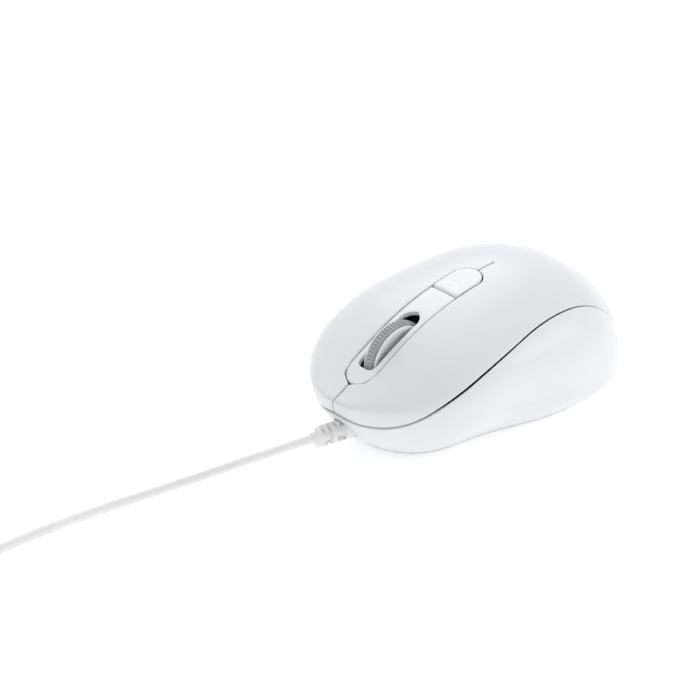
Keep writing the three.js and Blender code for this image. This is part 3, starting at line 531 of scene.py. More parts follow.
def outward(p, inset=0.0):
    """Unit normals of the skin through p."""
    step = 0.02
    slope = np.stack([
        envelope(p + axis * step, inset) - envelope(p - axis * step, inset) for axis in np.eye(3)
    ], axis=-1)
    return slope / np.linalg.norm(slope, axis=-1, keepdims=True)


def settle(p, inset=0.0):
    """Points near the skin, moved onto it."""
    for _ in range(4):
        step = 0.02
        slope = np.stack([
            (envelope(p + axis * step, inset) - envelope(p - axis * step, inset)) / (2 * step)
            for axis in np.eye(3)
        ], axis=-1)
        size = np.sum(slope * slope, axis=-1, keepdims=True)
        p = p - slope * ((envelope(p, inset) - 1)[:, None] / size)
    return p


def round_chart(p):
    """Skin points to a flat chart: distance is the angle from straight up, seen from the heart."""
    way = p - HEART
    flat = np.hypot(way[:, 0], way[:, 1])
    polar = np.arctan2(flat, way[:, 2])
    return way[:, :2] / np.maximum(flat, 1e-9)[:, None] * polar[:, None]


def round_place(uv):
    polar = np.hypot(uv[:, 0], uv[:, 1])
    level = np.sinc(polar / math.pi)
    return cast(HEART, np.column_stack([uv * level[:, None], np.cos(polar)]))


def top_place(uv, inset):
    """Points of the upper skin above plan positions."""
    start = np.column_stack([uv, np.full(len(uv), 10.0)])
    return cast(start, np.tile([0.0, 0.0, 1.0], (len(uv), 1)), inset)


def seam_lift(y):
    return np.interp(y, (SEAM_GAP_START, SEAM_GAP_END), (SEAM_GAP_FRONT, SEAM_GAP_REAR))


def find_edge(path, low, high, is_before):
    """The last value of each path's parameter at which is_before holds, and the points there."""
    low, high = np.array(low, float), np.array(high, float)
    for _ in range(30):
        mid = (low + high) / 2
        before = is_before(path(mid))
        low = np.where(before, mid, low)
        high = np.where(before, high, mid)
    return low


def above_seam(lift):
    return lambda p: p[:, 2] > seam_height(p[:, 1]) + lift(p[:, 1])


def seam_points(turns, lift):
    """The parting line at these turns round the body, from the cable end towards the thumb side."""
    def path(polar):
        return cast(HEART, np.column_stack([
            np.sin(polar) * np.sin(turns), -np.sin(polar) * np.cos(turns), np.cos(polar),
        ]))
    polar = find_edge(path, np.full(len(turns), 0.3), np.full(len(turns), 2.2), above_seam(lift))
    return path(polar)


# ---------------------------------------------------------------- shell meshes


class Shell:
    """Vertices with a smooth normal and an edge mark each, and faces that use them or stay flat."""

    def __init__(self):
        self.points, self.normals, self.marks, self.faces, self.flat = [], [], [], [], []

    def add(self, points, normals, mark=0.0):
        first = len(self.points)
        self.points.extend(np.asarray(points, float))
        self.normals.extend(np.asarray(normals, float))
        self.marks.extend(np.full(len(points), mark))
        return np.arange(first, len(self.points))

    def face(self, corners, flat=False):
        self.faces.append([int(c) for c in corners])
        self.flat.append(flat)

    def band(self, upper, lower, flat=False):
        """Quads between two closed rows; upper is the row that the surface is seen from."""
        count = len(upper)
        for i in range(count):
            j = (i + 1) % count
            self.face((upper[i], lower[i], lower[j], upper[j]), flat)

    def fill(self, loops, flat_of, lattice, place, normal_of, down=None):
        """Triangles over a region bounded by loops of vertices, with a fine even lattice inside.

        With down, the same triangles are laid over the paired loops behind, facing the other way.
        """
        ids = np.concatenate(loops)
        rim = flat_of(np.array([self.points[i] for i in ids]))
        edges, start = [], 0
        rings = []
        for loop in loops:
            count = len(loop)
            edges += [(start + i, start + (i + 1) % count) for i in range(count)]
            rings.append(rim[start:start + count])
            start += count
        inner = lattice_points(rings, lattice)
        every = np.vstack([rim, inner])
        found = delaunay_2d_cdt([Vector(p) for p in every], edges, [], 0, 1e-9)
        corners = np.array([t for t in found[2] if len(t) == 3])
        origin = [o[0] for o in found[3]]
        middle = np.array([list(v) for v in found[0]])[corners].mean(1)
        corners = corners[inside_rings(middle, rings)]
        placed = place(inner)
        normals = normal_of(placed)
        front = np.concatenate([ids, self.add(placed, normals)])
        for a, b, c in corners:
            self.face((front[origin[a]], front[origin[b]], front[origin[c]]))
        if down is not None:
            thickness, back_loops = down
            back = np.concatenate([*back_loops, self.add(placed - normals * thickness, -normals)])
            for a, b, c in corners:
                self.face((back[origin[c]], back[origin[b]], back[origin[a]]))

    def mirrored(self):
        other = Shell()
        turn = np.array([-1, 1, 1])
        other.points = [p * turn for p in self.points]
        other.normals = [n * turn for n in self.normals]
        other.marks = list(self.marks)
        other.faces = [f[::-1] for f in self.faces]
        other.flat = list(self.flat)
        return other

    def to_object(self, name, material):
        mesh = bpy.data.meshes.new(name)
        points = np.array(self.points)
        mesh.from_pydata(points * MM, [], self.faces)
        mesh.update()
        # The edge attribute says where the painted edge highlight goes.
        mark = mesh.attributes.new("edge", "FLOAT", "POINT")
        mark.data.foreach_set("value", np.array(self.marks, np.float32))
        corner_normals = []
        for face, flat, polygon in zip(self.faces, self.flat, mesh.polygons):
            if flat:
                corner_normals += [polygon.normal[:]] * len(face)
            else:
                corner_normals += [tuple(self.normals[i]) for i in face]
        mesh.shade_smooth()
        mesh.normals_split_custom_set(corner_normals)
        mesh.materials.append(material)
        piece = bpy.data.objects.new(name, mesh)
        bpy.context.scene.collection.objects.link(piece)
        return piece


def inside_rings(points, rings):
    """Even-odd test of flat points against several closed rings at once."""
    inside = np.zeros(len(points), bool)
    x, y = points[:, 0], points[:, 1]
    for ring in rings:
        ahead = np.roll(ring, -1, axis=0)
        for (x0, y0), (x1, y1) in zip(ring, ahead):
            if y0 != y1:
                crosses = ((y0 > y) != (y1 > y)) & (x < (x1 - x0) * (y - y0) / (y1 - y0) + x0)
                inside ^= crosses
    return inside


def lattice_points(rings, spacing):
    """A triangular lattice inside the rings, kept off their edges."""
    rim = np.vstack(rings)
    low, high = rim.min(0), rim.max(0)
    rows = np.arange(low[1], high[1], spacing * math.sqrt(3) / 2)
    points = np.vstack([
        np.column_stack([
            np.arange(low[0] + (spacing / 2 if i % 2 else 0), high[0], spacing),
            np.full(len(np.arange(low[0] + (spacing / 2 if i % 2 else 0), high[0], spacing)), row),
        ]) for i, row in enumerate(rows)
    ])
    points = points[inside_rings(points, rings)]
    clear = np.ones(len(points), bool)
    for start in range(0, len(rim), 200):
        part = rim[start:start + 200]
        gap = np.linalg.norm(points[:, None, :] - part[None, :, :], axis=2).min(1)
        clear &= gap > spacing * 0.6
    return points[clear]


LIP_STEPS = 4


def lipped_columns(shell, loop, lips, thickness, inset):
    """Rounds a loop's edge over and walls it down to the back of the panel.

    lips gives each vertex its radius, 0 where the panel is cut flush. Returns the front and back loops.
    """
    count = len(loop)
    normal = outward(loop, inset)
    ahead = np.roll(loop, -1, axis=0) - loop
    ahead /= np.linalg.norm(ahead, axis=1, keepdims=True)
    behind = np.roll(ahead, 1, axis=0)
    flush_ahead = (lips == 0) | (np.roll(lips, -1) == 0)
    flush_behind = np.roll(flush_ahead, 1)
    columns = []
    for i in range(count):
        if lips[i] == 0:
            outer = shell.add([loop[i]], [normal[i]])[0]
            inner = shell.add([loop[i] - normal[i] * thickness], [-normal[i]])[0]
            columns.append([outer, inner])
            continue
        side_ahead = np.cross(normal[i], ahead[i])
        side_behind = np.cross(normal[i], behind[i])
        if flush_ahead[i]:
            way = ahead[i] / max(0.3, ahead[i] @ side_behind)
        elif flush_behind[i]:
            way = -behind[i] / max(0.3, -behind[i] @ side_ahead)
        else:
            way = (side_ahead + side_behind) / max(0.5, 1 + side_ahead @ side_behind)
        start = settle((loop[i] + way * lips[i])[None], inset)[0]
        up = outward(start[None], inset)[0]
        out = loop[i] - start
        out_unit = out / np.linalg.norm(out)
        column = []
        for k in range(LIP_STEPS + 1):
            angle = math.pi / 2 * k / LIP_STEPS
            point = start + out * math.sin(angle) - up * lips[i] * (1 - math.cos(angle))
            facing = up * math.cos(angle) + out_unit * math.sin(angle)
            facing = facing / np.linalg.norm(facing)
            # Lip vertices past the first are marked for the painted edge highlight.
            column.append(shell.add([point], [facing], 0.0 if k == 0 else 1.0)[0])
        column.append(shell.add([loop[i] - normal[i] * thickness], [-normal[i]])[0])
        columns.append(column)
    for i in range(count):
        j = (i + 1) % count
        here, there = columns[i], columns[j]
        if len(here) == len(there):
            for k in range(len(here) - 1):
                last = k == len(here) - 2
                shell.face((here[k], here[k + 1], there[k + 1], there[k]), last)
        else:
            shell.face(here + there[::-1], True)
    return np.array([c[0] for c in columns]), np.array([c[-1] for c in columns])


def panel(shell, loops, lips, thickness, flat_of, place, lattice, inset=0.0):
    """A panel of the body's skin inside the first loop and outside the others."""
    fronts, backs = [], []
    for loop, lip in zip(loops, lips):
        front, back = lipped_columns(shell, loop, lip, thickness, inset)
        fronts.append(front)
        backs.append(back)
    shell.fill(fronts, flat_of, lattice, place, lambda p: outward(p, inset), (thickness, backs))


def evenly(points, spacing, closed=False):
    """A polyline walked at an even spacing, its ends kept."""
    points = np.asarray(points, float)
    if closed:
        points = np.vstack([points, points[:1]])
    lengths = np.concatenate([[0], np.cumsum(np.linalg.norm(np.diff(points, axis=0), axis=1))])
    count = max(2, int(round(lengths[-1] / spacing)) + 1)
    at = np.linspace(0, lengths[-1], count)
    walked = np.column_stack([np.interp(at, lengths, points[:, k]) for k in range(points.shape[1])])
    return walked[:-1] if closed else walked


def rounded(points, radii, steps=6):
    """A closed flat outline with each corner rounded to its radius."""
    points = [np.array(p, float) for p in points]
    outline = []
    for i, corner in enumerate(points):
        before = points[i - 1] - corner
        after = points[(i + 1) % len(points)] - corner
        if radii[i] == 0:
            outline.append(corner)
            continue
        room_before, room_after = np.linalg.norm(before), np.linalg.norm(after)
        before, after = before / room_before, after / room_after
        half = math.acos(np.clip(before @ after, -1, 1)) / 2
        reach = min(radii[i] / math.tan(half), 0.49 * room_before, 0.49 * room_after)
        start, end = corner + before * reach, corner + after * reach
        for k in range(steps + 1):
            t = k / steps
            outline.append((1 - t) ** 2 * start + 2 * t * (1 - t) * (0.25 * (start + end) + 0.5 * corner)
                           + t ** 2 * end)
    return np.array(outline)


# ---------------------------------------------------------------- top shell


def strip_half_width(y):
    t = (y - STRIP_FRONT) / (BUTTON_REAR - STRIP_FRONT)
    return STRIP_HALF_FRONT + (STRIP_HALF_REAR - STRIP_HALF_FRONT) * t


def tail_arc(grow, start, end, steps=16):
    """Round rear end of the strip and its channel, between two angles from +X."""
    tail_y = BUTTON_REAR - STRIP_HALF_REAR
    half = strip_half_width(tail_y) + grow
    angles = np.linspace(start, end, steps)
    return np.column_stack([half * np.cos(angles), tail_y + (STRIP_HALF_REAR + grow) * np.sin(angles)])


def nose_arc(grow, start, end, steps=24):
    nose_y = STRIP_FRONT + STRIP_NOSE
    half = strip_half_width(nose_y) + grow
    angles = np.linspace(start, end, steps)
    return np.column_stack([half * np.cos(angles), nose_y + (STRIP_NOSE + grow) * np.sin(angles)])


PANEL_STEP = 0.55
PANEL_LATTICE = 0.021


def slit_path(angles):
    start = np.array([SLIT_HALF, 0.0, HEART[2]])
    return cast(start, np.column_stack([np.zeros(len(angles)), -np.cos(angles), np.sin(angles)]))


def cut_path(angles):
    start = np.array([0.0, CUT_LINE, HEART[2]])
    return cast(start, np.column_stack([np.sin(angles), np.zeros(len(angles)), np.cos(angles)]))


def cut_points():
    """The flex line from the parting line up to the slit, on the thumb side."""
    low = find_edge(cut_path, [0.0], [1.6], above_seam(seam_lift))[0]
    slit = find_edge(cut_path, [0.0], [0.5], lambda p: p[:, 0] < SLIT_HALF)[0]
    line = evenly(cut_path(np.linspace(low, slit, 200)), PANEL_STEP)
    return np.vstack([line[:1], line[2:-2], line[-1:]])


def seam_run(first, last, inside):
    turns = np.linspace(first, last, 420)
    points = seam_points(turns, seam_lift)
    return points[inside(points)]


def key_loop():
    """The edge of the thumb-side key, and the lip radius at each of its points."""
    corner_angle = find_edge(slit_path, [1.5], [0.0], above_seam(seam_lift))[0]
    seam_corner = slit_path(np.array([corner_angle]))
    cut = cut_points()
    seam = seam_run(0.004, 2.0, lambda p: (p[:, 0] > SLIT_HALF + 0.2) & (p[:, 1] < CUT_LINE - 0.3))
    seam = evenly(np.vstack([seam_corner, seam, cut[:1]]), PANEL_STEP)
    side_y = BUTTON_REAR - STRIP_HALF_REAR
    tail = tail_arc(CHANNEL_GAP, math.pi / 2 - 0.055, 0)
    nose_y = STRIP_FRONT + STRIP_NOSE
    front = rounded(
        [(strip_half_width(nose_y) + CHANNEL_GAP, nose_y), CHANNEL_CORNER, (SLIT_HALF, CHANNEL_POINT),
         (SLIT_HALF, CHANNEL_POINT - 4), (40, CHANNEL_POINT)],
        [0, 1.4, 0.35, 0, 0],
    )[:-2]
    centre = np.vstack([
        [[SLIT_HALF, CUT_LINE], [SLIT_HALF, tail[0, 1]]],
        tail,
        [[strip_half_width(side_y) + CHANNEL_GAP, side_y]],
        front,
    ])
    centre = evenly(centre, PANEL_STEP)[1:]
    centre = top_place(centre, 0.0)
    slit_top = math.atan2(centre[-1, 2] - HEART[2], -centre[-1, 1])
    slit = slit_path(np.linspace(slit_top, corner_angle, 22))[1:-1]
    loop = np.vstack([seam[:-1], cut, centre, slit])
    lips = np.concatenate([
        np.full(len(seam) - 1, SEAM_LIP),
        [SEAM_LIP], np.zeros(len(cut) - 2), [SLIT_LIP],
        np.full(len(centre) + len(slit), SLIT_LIP),
    ])
    return loop, lips


def palm_loop():
    cut = cut_points()
    far_cut = cut * np.array([-1, 1, 1])
    middle = np.array([[0.0, *cut[-1, 1:]]])
    seam = seam_run(1.0, 2 * math.pi - 1.0, lambda p: p[:, 1] > CUT_LINE + 0.3)
    seam = evenly(np.vstack([cut[:1], seam, far_cut[:1]]), PANEL_STEP)
    loop = np.vstack([seam, far_cut[1:], middle, cut[::-1][:-1]])
    lips = np.concatenate([np.full(len(seam), SEAM_LIP), np.zeros(len(loop) - len(seam))])
    return loop, lips


def make_keys():
    shell = Shell()
    loop, lips = key_loop()
    panel(shell, [loop], [lips], WALL, round_chart, round_place, PANEL_LATTICE)
    left = shell.to_object("left_key_cover", SATIN_WHITE)
    right = shell.mirrored().to_object("right_key_cover", SATIN_WHITE)
    return left, right


def make_palm():
    shell = Shell()
    loop, lips = palm_loop()
    panel(shell, [loop], [lips], WALL, round_chart, round_place, PANEL_LATTICE)
    return shell.to_object("palm_shell", SATIN_WHITE)


# ---------------------------------------------------------------- strip and small button


def make_strip():
    nose = nose_arc(0, math.pi, 2 * math.pi)
    half = strip_half_width(STRIP_REAR)
    outline = np.vstack([[[half, STRIP_REAR - 0.3], [half - 0.3, STRIP_REAR], [0.3 - half, STRIP_REAR],
                          [-half, STRIP_REAR - 0.3]], nose])
    outline = evenly(outline, 0.4, closed=True)
    slot = rounded(
        [(-SLOT_HALF_WIDTH, SLOT_FRONT), (-SLOT_HALF_WIDTH, SLOT_REAR),
         (SLOT_HALF_WIDTH, SLOT_REAR), (SLOT_HALF_WIDTH, SLOT_FRONT)],
        [1.5, 3.1, 3.1, 1.5], 10,
    )
    slot = evenly(slot, 0.35, closed=True)
    loops = [top_place(outline, STRIP_INSET), top_place(slot, STRIP_INSET)]
    lips = [np.full(len(outline), 0.3), np.full(len(slot), 0.22)]
    shell = Shell()
    panel(shell, loops, lips, STRIP_THICKNESS, lambda p: p[:, :2],
          lambda uv: top_place(uv, STRIP_INSET), 0.6, STRIP_INSET)
    return shell.to_object("centre_strip", CASE_WHITE)


def make_button():
    half = strip_half_width(BUTTON_FRONT)
    tail = tail_arc(0, 0, math.pi, 40)
    front = [[-half, BUTTON_FRONT + 0.4], [0.4 - half, BUTTON_FRONT],
             [half - 0.4, BUTTON_FRONT], [half, BUTTON_FRONT + 0.4]]
    outline = np.vstack([front, tail])
    outline = evenly(outline, 0.3, closed=True)
    inset = -BUTTON_PROUD
    loop = top_place(outline, inset)
    lips = 0.3 + 0.5 * smooth_step(-outline[:, 1], -BUTTON_FRONT - 0.9, -BUTTON_FRONT - 0.2)
    shell = Shell()
    panel(shell, [loop], [lips], 1.5, lambda p: p[:, :2], lambda uv: top_place(uv, inset), 0.5, inset)
    return shell.to_object("small_button_cap", CASE_WHITE)


def make_mark():
    """Three rising bars, a plain sign for stepping up the pointer speed."""
    shell = Shell()
    inset = -BUTTON_PROUD
    for k in range(3):
        x = -1.5 + 1.5 * k
        length = 1.2 + 0.9 * k
        foot, head = -2.6, -2.6 + length
        outline = rounded([(x - 0.4, foot), (x + 0.4, foot), (x + 0.4, head), (x - 0.4, head)], [0.2] * 4, 4)
        lower = top_place(outline, inset)
        normal = outward(lower, inset)
        top = shell.add(lower + normal * 0.06, normal, 1.0)
        bottom = shell.add(lower - normal * 0.1, -normal)
        shell.face(top)
        shell.face(bottom[::-1])
        shell.band(top, bottom, True)
    return shell.to_object("button_mark", MARK_WHITE)


# ---------------------------------------------------------------- bottom case

CASE_LIP = 0.3
RIM_ROUND = 0.7
INNER_FLOOR = 3.05
BORE_RADIUS = 3.2
SCREW_PLACES = ((0, -10.6), (15, 27), (-15, 27))


def rim_path(turns, height):
    """The lower skin at a height, at these turns round the body."""
    def path(polar):
        return cast(HEART, np.column_stack([
            np.sin(polar) * np.sin(turns), -np.sin(polar) * np.cos(turns), np.cos(polar),
        ]))
    polar = find_edge(path, np.full(len(turns), 1.2), np.full(len(turns), 2.6), lambda p: p[:, 2] > height)
    return path(polar)


def relief_frame():
    """Directions along the cable's exit, across it and up."""
    along = np.array([-math.sin(RELIEF_YAW), -math.cos(RELIEF_YAW), 0.0])
    across = np.array([math.cos(RELIEF_YAW), -math.sin(RELIEF_YAW), 0.0])
    return along, across, np.array([0.0, 0.0, 1.0])


def bore_loop():
    """Where the cable bore breaks the nose, clockwise seen from outside."""
    along, across, up = relief_frame()
    angles = -np.linspace(0, 2 * math.pi, 48, endpoint=False)
    ring = (np.array(RELIEF_ROOT) - along * 8
            + np.outer(np.cos(angles), across) * BORE_RADIUS + np.outer(np.sin(angles), up) * BORE_RADIUS)
    return cast(ring, np.tile(along, (len(ring), 1)))


def base_holes():
    """Beds and holes in the base: outline, depth that each reaches, and whether it goes right through."""
    def rectangle(x0, x1, y0, y1, radius):
        return rounded([(x0, y0), (x1, y0), (x1, y1), (x0, y1)], [radius] * 4, 8)

    def circle(x, y, radius):
        angles = np.linspace(0, 2 * math.pi, 40, endpoint=False)
        return np.column_stack([x + radius * np.cos(angles), y + radius * np.sin(angles)])

    return [
        (rectangle(-10.3, 10.3, -31.3, -24.3, 3.3), 1.5, False),
        (rectangle(-12.8, 12.8, 31.7, 38.7, 3.3), 1.5, False),
        (rectangle(-10.4, 10.4, 17.6, 25.4, 1.0), 1.8, False),
        *[(circle(x, y, 3.1), 3.0, False) for x, y in SCREW_PLACES],
        (rectangle(-5, 5, -1, 9, 2.0), INNER_FLOOR, True),
    ]


def make_case():
    shell = Shell()
    turns = np.linspace(0, 2 * math.pi, 420, endpoint=False)
    seam = seam_points(turns, lambda y: np.zeros_like(y))[::-1]
    rim = rim_path(turns, BASE_HEIGHT + RIM_ROUND)
    seam_front, seam_back = lipped_columns(shell, seam, np.full(len(seam), CASE_LIP), WALL, 0.0)
    bore = bore_loop()
    bore_front, bore_back = lipped_columns(shell, bore, np.full(len(bore), 0.25), WALL, 0.0)
    rim_normal = outward(rim)
    rim_front = shell.add(rim, rim_normal)
    inner_rim = rim - rim_normal * WALL
    inner_rim[:, 2] = INNER_FLOOR
    rim_back = shell.add(inner_rim, -rim_normal)
    shell.fill([rim_front, seam_front, bore_front], round_chart, 0.026, round_place, outward,
               (WALL, [rim_back, seam_back, bore_back]))
    level = rim_normal * np.array([1, 1, 0])
    level /= np.linalg.norm(level, axis=1, keepdims=True)
    down = np.array([0.0, 0.0, -1.0])
    row = rim_front
    for k in range(1, 5):
        share = k / 4
        drop = down * RIM_ROUND * math.sin(math.pi / 2 * share)
        point = rim - level * RIM_ROUND * 0.8 * share ** 1.6 + drop
        facing = rim_normal * (1 - share) + down * share
        facing /= np.linalg.norm(facing, axis=1, keepdims=True)
        # The rim round is marked at half strength for the painted edge highlight.
        lower = shell.add(point, facing, 0.5)
        shell.band(row, lower)
        row = lower
    make_base(shell, row, rim_back)
    return shell.to_object("case_shell", CASE_WHITE)


def make_base(shell, outer, inner):
    """The flat underside with its beds and holes, and the floor inside."""
    down, up = np.array([0.0, 0.0, -1.0]), np.array([0.0, 0.0, 1.0])
    soft = 0.2
    loops, through = [], []
    for outline, depth, is_through in base_holes():
        outline = evenly(outline, 0.7, closed=True)
        centre = outline.mean(0)
        away = outline - centre
        grown = outline + away / np.linalg.norm(away, axis=1, keepdims=True) * soft
        count = len(outline)
        facing = np.tile(down, (count, 1))
        end_facing = np.tile(up if is_through else down, (count, 1))
        # Hole mouths are marked for the painted edge highlight.
        mouth = shell.add(np.column_stack([grown, np.full(count, BASE_HEIGHT)]), facing, 0.6)
        wall = shell.add(np.column_stack([outline, np.full(count, BASE_HEIGHT + soft)]), facing)
        top = shell.add(np.column_stack([outline, np.full(count, depth)]), end_facing)
        shell.band(wall, mouth)
        shell.band(top, wall, True)
        loops.append(mouth)
        if is_through:
            through.append(top)
        else:
            shell.face(top[::-1], True)
    flip = np.array([1.0, -1.0])
    shell.fill([outer, *loops], lambda p: p[:, :2] * flip, 2.4,
               lambda uv: np.column_stack([uv * flip, np.full(len(uv), float(BASE_HEIGHT))]),
               lambda p: np.tile(down, (len(p), 1)))
    shell.fill([inner, *through], lambda p: p[:, :2], 4.0,
               lambda uv: np.column_stack([uv, np.full(len(uv), INNER_FLOOR)]),
               lambda p: np.tile(up, (len(p), 1)))


# ---------------------------------------------------------------- turned parts


def lathe(name, profile, material, segments=96, sharp=35):
    """Turns an outline of (radius, distance along) about Z, closed at the axis or on itself."""
    mesh = bpy.data.meshes.new(name)
    form = bmesh.new()
    rows = []
    for radius, along in profile:
        if radius < 1e-9:
            rows.append([form.verts.new((0, 0, along * MM))] * segments)
            continue
        rows.append([
            form.verts.new((
                radius * math.cos(2 * math.pi * k / segments) * MM,
                radius * math.sin(2 * math.pi * k / segments) * MM,
                along * MM,
            )) for k in range(segments)
        ])
    closed = profile[0][0] > 0
    pairs = list(zip(rows, rows[1:])) + ([(rows[-1], rows[0])] if closed else [])
    for lower, upper in pairs:
        for k in range(segments):
            j = (k + 1) % segments
            corners = []
            for corner in (lower[k], lower[j], upper[j], upper[k]):
                if corner not in corners:
                    corners.append(corner)
            if len(corners) > 2:
                form.faces.new(corners)
    bmesh.ops.recalc_face_normals(form, faces=form.faces)
    form.to_mesh(mesh)
    form.free()
    mesh.shade_smooth()
    mesh.set_sharp_from_angle(angle=math.radians(sharp))
    mesh.materials.append(material)
    piece = bpy.data.objects.new(name, mesh)
    bpy.context.scene.collection.objects.link(piece)
    return piece


def place_mesh(piece, matrix):
    """Puts a piece's place in its mesh and leaves its object at the origin."""
    piece.data.transform(matrix)
    piece.matrix_world = Matrix.Identity(4)
    return piece


WHEEL_TURN = (
    Matrix.Translation(Vector(WHEEL_CENTRE) * MM) @ Matrix.Rotation(math.radians(90), 4, "Y")
)


def make_hub():
    """White wheel: a thin rim each side of the tyre and a dished face, on its two stubs."""
    face = [(1.25, 2.1), (2.7, 2.1), (3.1, 1.9), (3.4, 1.55), (5.0, 1.42), (7.0, 1.55), (8.6, 1.9),
            (9.4, 2.2), (9.9, 2.28), (10.1, 2.2), (10.2, 2.0), (10.2, 1.72), (10.05, 1.64), (9.1, 1.64)]
    right = [(r, -x) for r, x in face]
    profile = [(0, -9.4), (0.8, -9.4), (0.9, -9.3), (0.9, -5.2), (1.25, -5.1), *right,
               *face[::-1], (1.25, 6.2), (1.15, 6.3), (0, 6.3)]
    return place_mesh(lathe("wheel_core", profile, CASE_WHITE), WHEEL_TURN)


def make_tyre_band():
    profile = [(9.4, -1.36), (10.35, -1.36), (10.6, -1.28), (10.68, -1.1), (10.68, 1.1), (10.6, 1.28),
               (10.35, 1.36), (9.4, 1.36)]
    return place_mesh(lathe("tyre_band", profile, TYRE_GREY), WHEEL_TURN)


def block(name, outline, depth, material, bevel):
    """An upright block over a flat outline, with its edges rounded, centred on z = 0."""
    mesh = bpy.data.meshes.new(name)
    form = bmesh.new()
    low = [form.verts.new((x * MM, y * MM, -depth / 2 * MM)) for x, y in outline]
    high = [form.verts.new((x * MM, y * MM, depth / 2 * MM)) for x, y in outline]
    form.faces.new(low[::-1])
    form.faces.new(high)
    for i in range(len(low)):
        j = (i + 1) % len(low)
        form.faces.new((low[i], low[j], high[j], high[i]))
    if bevel:
        bmesh.ops.bevel(form, geom=list(form.edges), offset=bevel * MM, segments=2, affect="EDGES",
                        clamp_overlap=True)
    bmesh.ops.recalc_face_normals(form, faces=form.faces)
    form.to_mesh(mesh)
    form.free()
    mesh.shade_smooth()
    mesh.set_sharp_from_angle(angle=math.radians(40))
    mesh.materials.append(material)
    piece = bpy.data.objects.new(name, mesh)
    bpy.context.scene.collection.objects.link(piece)
    return piece


# ---------------------------------------------------------------- repeated parts


def repeat_tree(name, sizes):
    """A Geometry Nodes tree with a part going in, named sizes, and a material."""
    tree = bpy.data.node_groups.new(name, "GeometryNodeTree")
    tree.interface.new_socket("Part", in_out="INPUT", socket_type="NodeSocketGeometry")
    for label, kind, value in sizes:
        socket = tree.interface.new_socket(label, in_out="INPUT", socket_type=kind)
        socket.default_value = value
    tree.interface.new_socket("Material", in_out="INPUT", socket_type="NodeSocketMaterial")
    tree.interface.new_socket("Geometry", in_out="OUTPUT", socket_type="NodeSocketGeometry")
    return tree, tree.nodes.new("NodeGroupInput"), tree.nodes.new("NodeGroupOutput")


def maths(tree, operation, first, second):
    node = tree.nodes.new("ShaderNodeMath")
    node.operation = operation
    for socket, given in zip(node.inputs, (first, second)):
        if isinstance(given, (int, float)):
            socket.default_value = given
        else:
            tree.links.new(given, socket)
    return node.outputs[0]


def finish_repeat(tree, start, end, points, rotation):
    """Puts the part on the points, makes it real and gives it its material."""
    instance = tree.nodes.new("GeometryNodeInstanceOnPoints")
    tree.links.new(points, instance.inputs["Points"])
    tree.links.new(start.outputs["Part"], instance.inputs["Instance"])
    tree.links.new(rotation, instance.inputs["Rotation"])
    real = tree.nodes.new("GeometryNodeRealizeInstances")
    tree.links.new(instance.outputs[0], real.inputs[0])
    dress = tree.nodes.new("GeometryNodeSetMaterial")
    tree.links.new(real.outputs[0], dress.inputs["Geometry"])
    tree.links.new(start.outputs["Material"], dress.inputs["Material"])
    tree.links.new(dress.outputs[0], end.inputs[0])


def ring_tree():
    """Parts set evenly round a circle in the XY plane, each turned to face outwards."""
    tree, start, end = repeat_tree("ring_of_parts", [
        ("Count", "NodeSocketInt", 12),
        ("Radius", "NodeSocketFloat", 0.01),
    ])
    circle = tree.nodes.new("GeometryNodeMeshCircle")
    tree.links.new(start.outputs["Count"], circle.inputs["Vertices"])
    tree.links.new(start.outputs["Radius"], circle.inputs["Radius"])
    index = tree.nodes.new("GeometryNodeInputIndex").outputs[0]
    share = maths(tree, "DIVIDE", index, start.outputs["Count"])
    turn = maths(tree, "MULTIPLY", share, 2 * math.pi)
    rotation = tree.nodes.new("ShaderNodeCombineXYZ")
    tree.links.new(turn, rotation.inputs["Z"])
    finish_repeat(tree, start, end, circle.outputs[0], rotation.outputs[0])
    return tree


def row_tree():
    """Parts set along Z at an even pitch, each turned by the same step from the last."""
    tree, start, end = repeat_tree("row_of_parts", [
        ("Count", "NodeSocketInt", 3),
        ("Pitch", "NodeSocketFloat", 0.002),
        ("Turn", "NodeSocketFloat", 1.5),
    ])
    line = tree.nodes.new("GeometryNodeMeshLine")
    tree.links.new(start.outputs["Count"], line.inputs["Count"])
    offset = tree.nodes.new("ShaderNodeCombineXYZ")
    tree.links.new(start.outputs["Pitch"], offset.inputs["Z"])
    tree.links.new(offset.outputs[0], line.inputs["Offset"])
    index = tree.nodes.new("GeometryNodeInputIndex").outputs[0]
    rotation = tree.nodes.new("ShaderNodeCombineXYZ")
    tree.links.new(maths(tree, "MULTIPLY", index, start.outputs["Turn"]), rotation.inputs["Z"])
    finish_repeat(tree, start, end, line.outputs[0], rotation.outputs[0])
    return tree


def repeated(piece, tree, values):
    """Runs a repeat tree on a part and keeps the result as a plain mesh."""
    modifier = piece.modifiers.new("repeat", "NODES")
    modifier.node_group = tree
    sockets = {s.name: s.identifier for s in tree.interface.items_tree if s.in_out == "INPUT"}
    for label, value in values.items():
        modifier[sockets[label]] = value
    modifier[sockets["Material"]] = piece.data.materials[0]
    bpy.context.view_layer.update()
    seen = piece.evaluated_get(bpy.context.evaluated_depsgraph_get())
    mesh = bpy.data.meshes.new_from_object(seen)
    piece.modifiers.clear()
    piece.data = mesh
    return piece


RING = ring_tree()
ROW = row_tree()


def make_tyre_ribs():
    """Fine cross ribs all round the tyre, rounded over at its shoulders."""
    outline = [(-0.35, -1.3), (0.12, -1.3), (0.3, -1.1), (0.33, -0.7), (0.33, 0.7), (0.3, 1.1), (0.12, 1.3),
               (-0.35, 1.3)]
    rib = block("tyre_ribs", outline, 0.52, TYRE_GREY, 0.1)
    rib.data.transform(Matrix.Rotation(math.radians(90), 4, "X"))
    repeated(rib, RING, {"Count": 64, "Radius": 10.68 * MM})
    return place_mesh(rib, WHEEL_TURN)


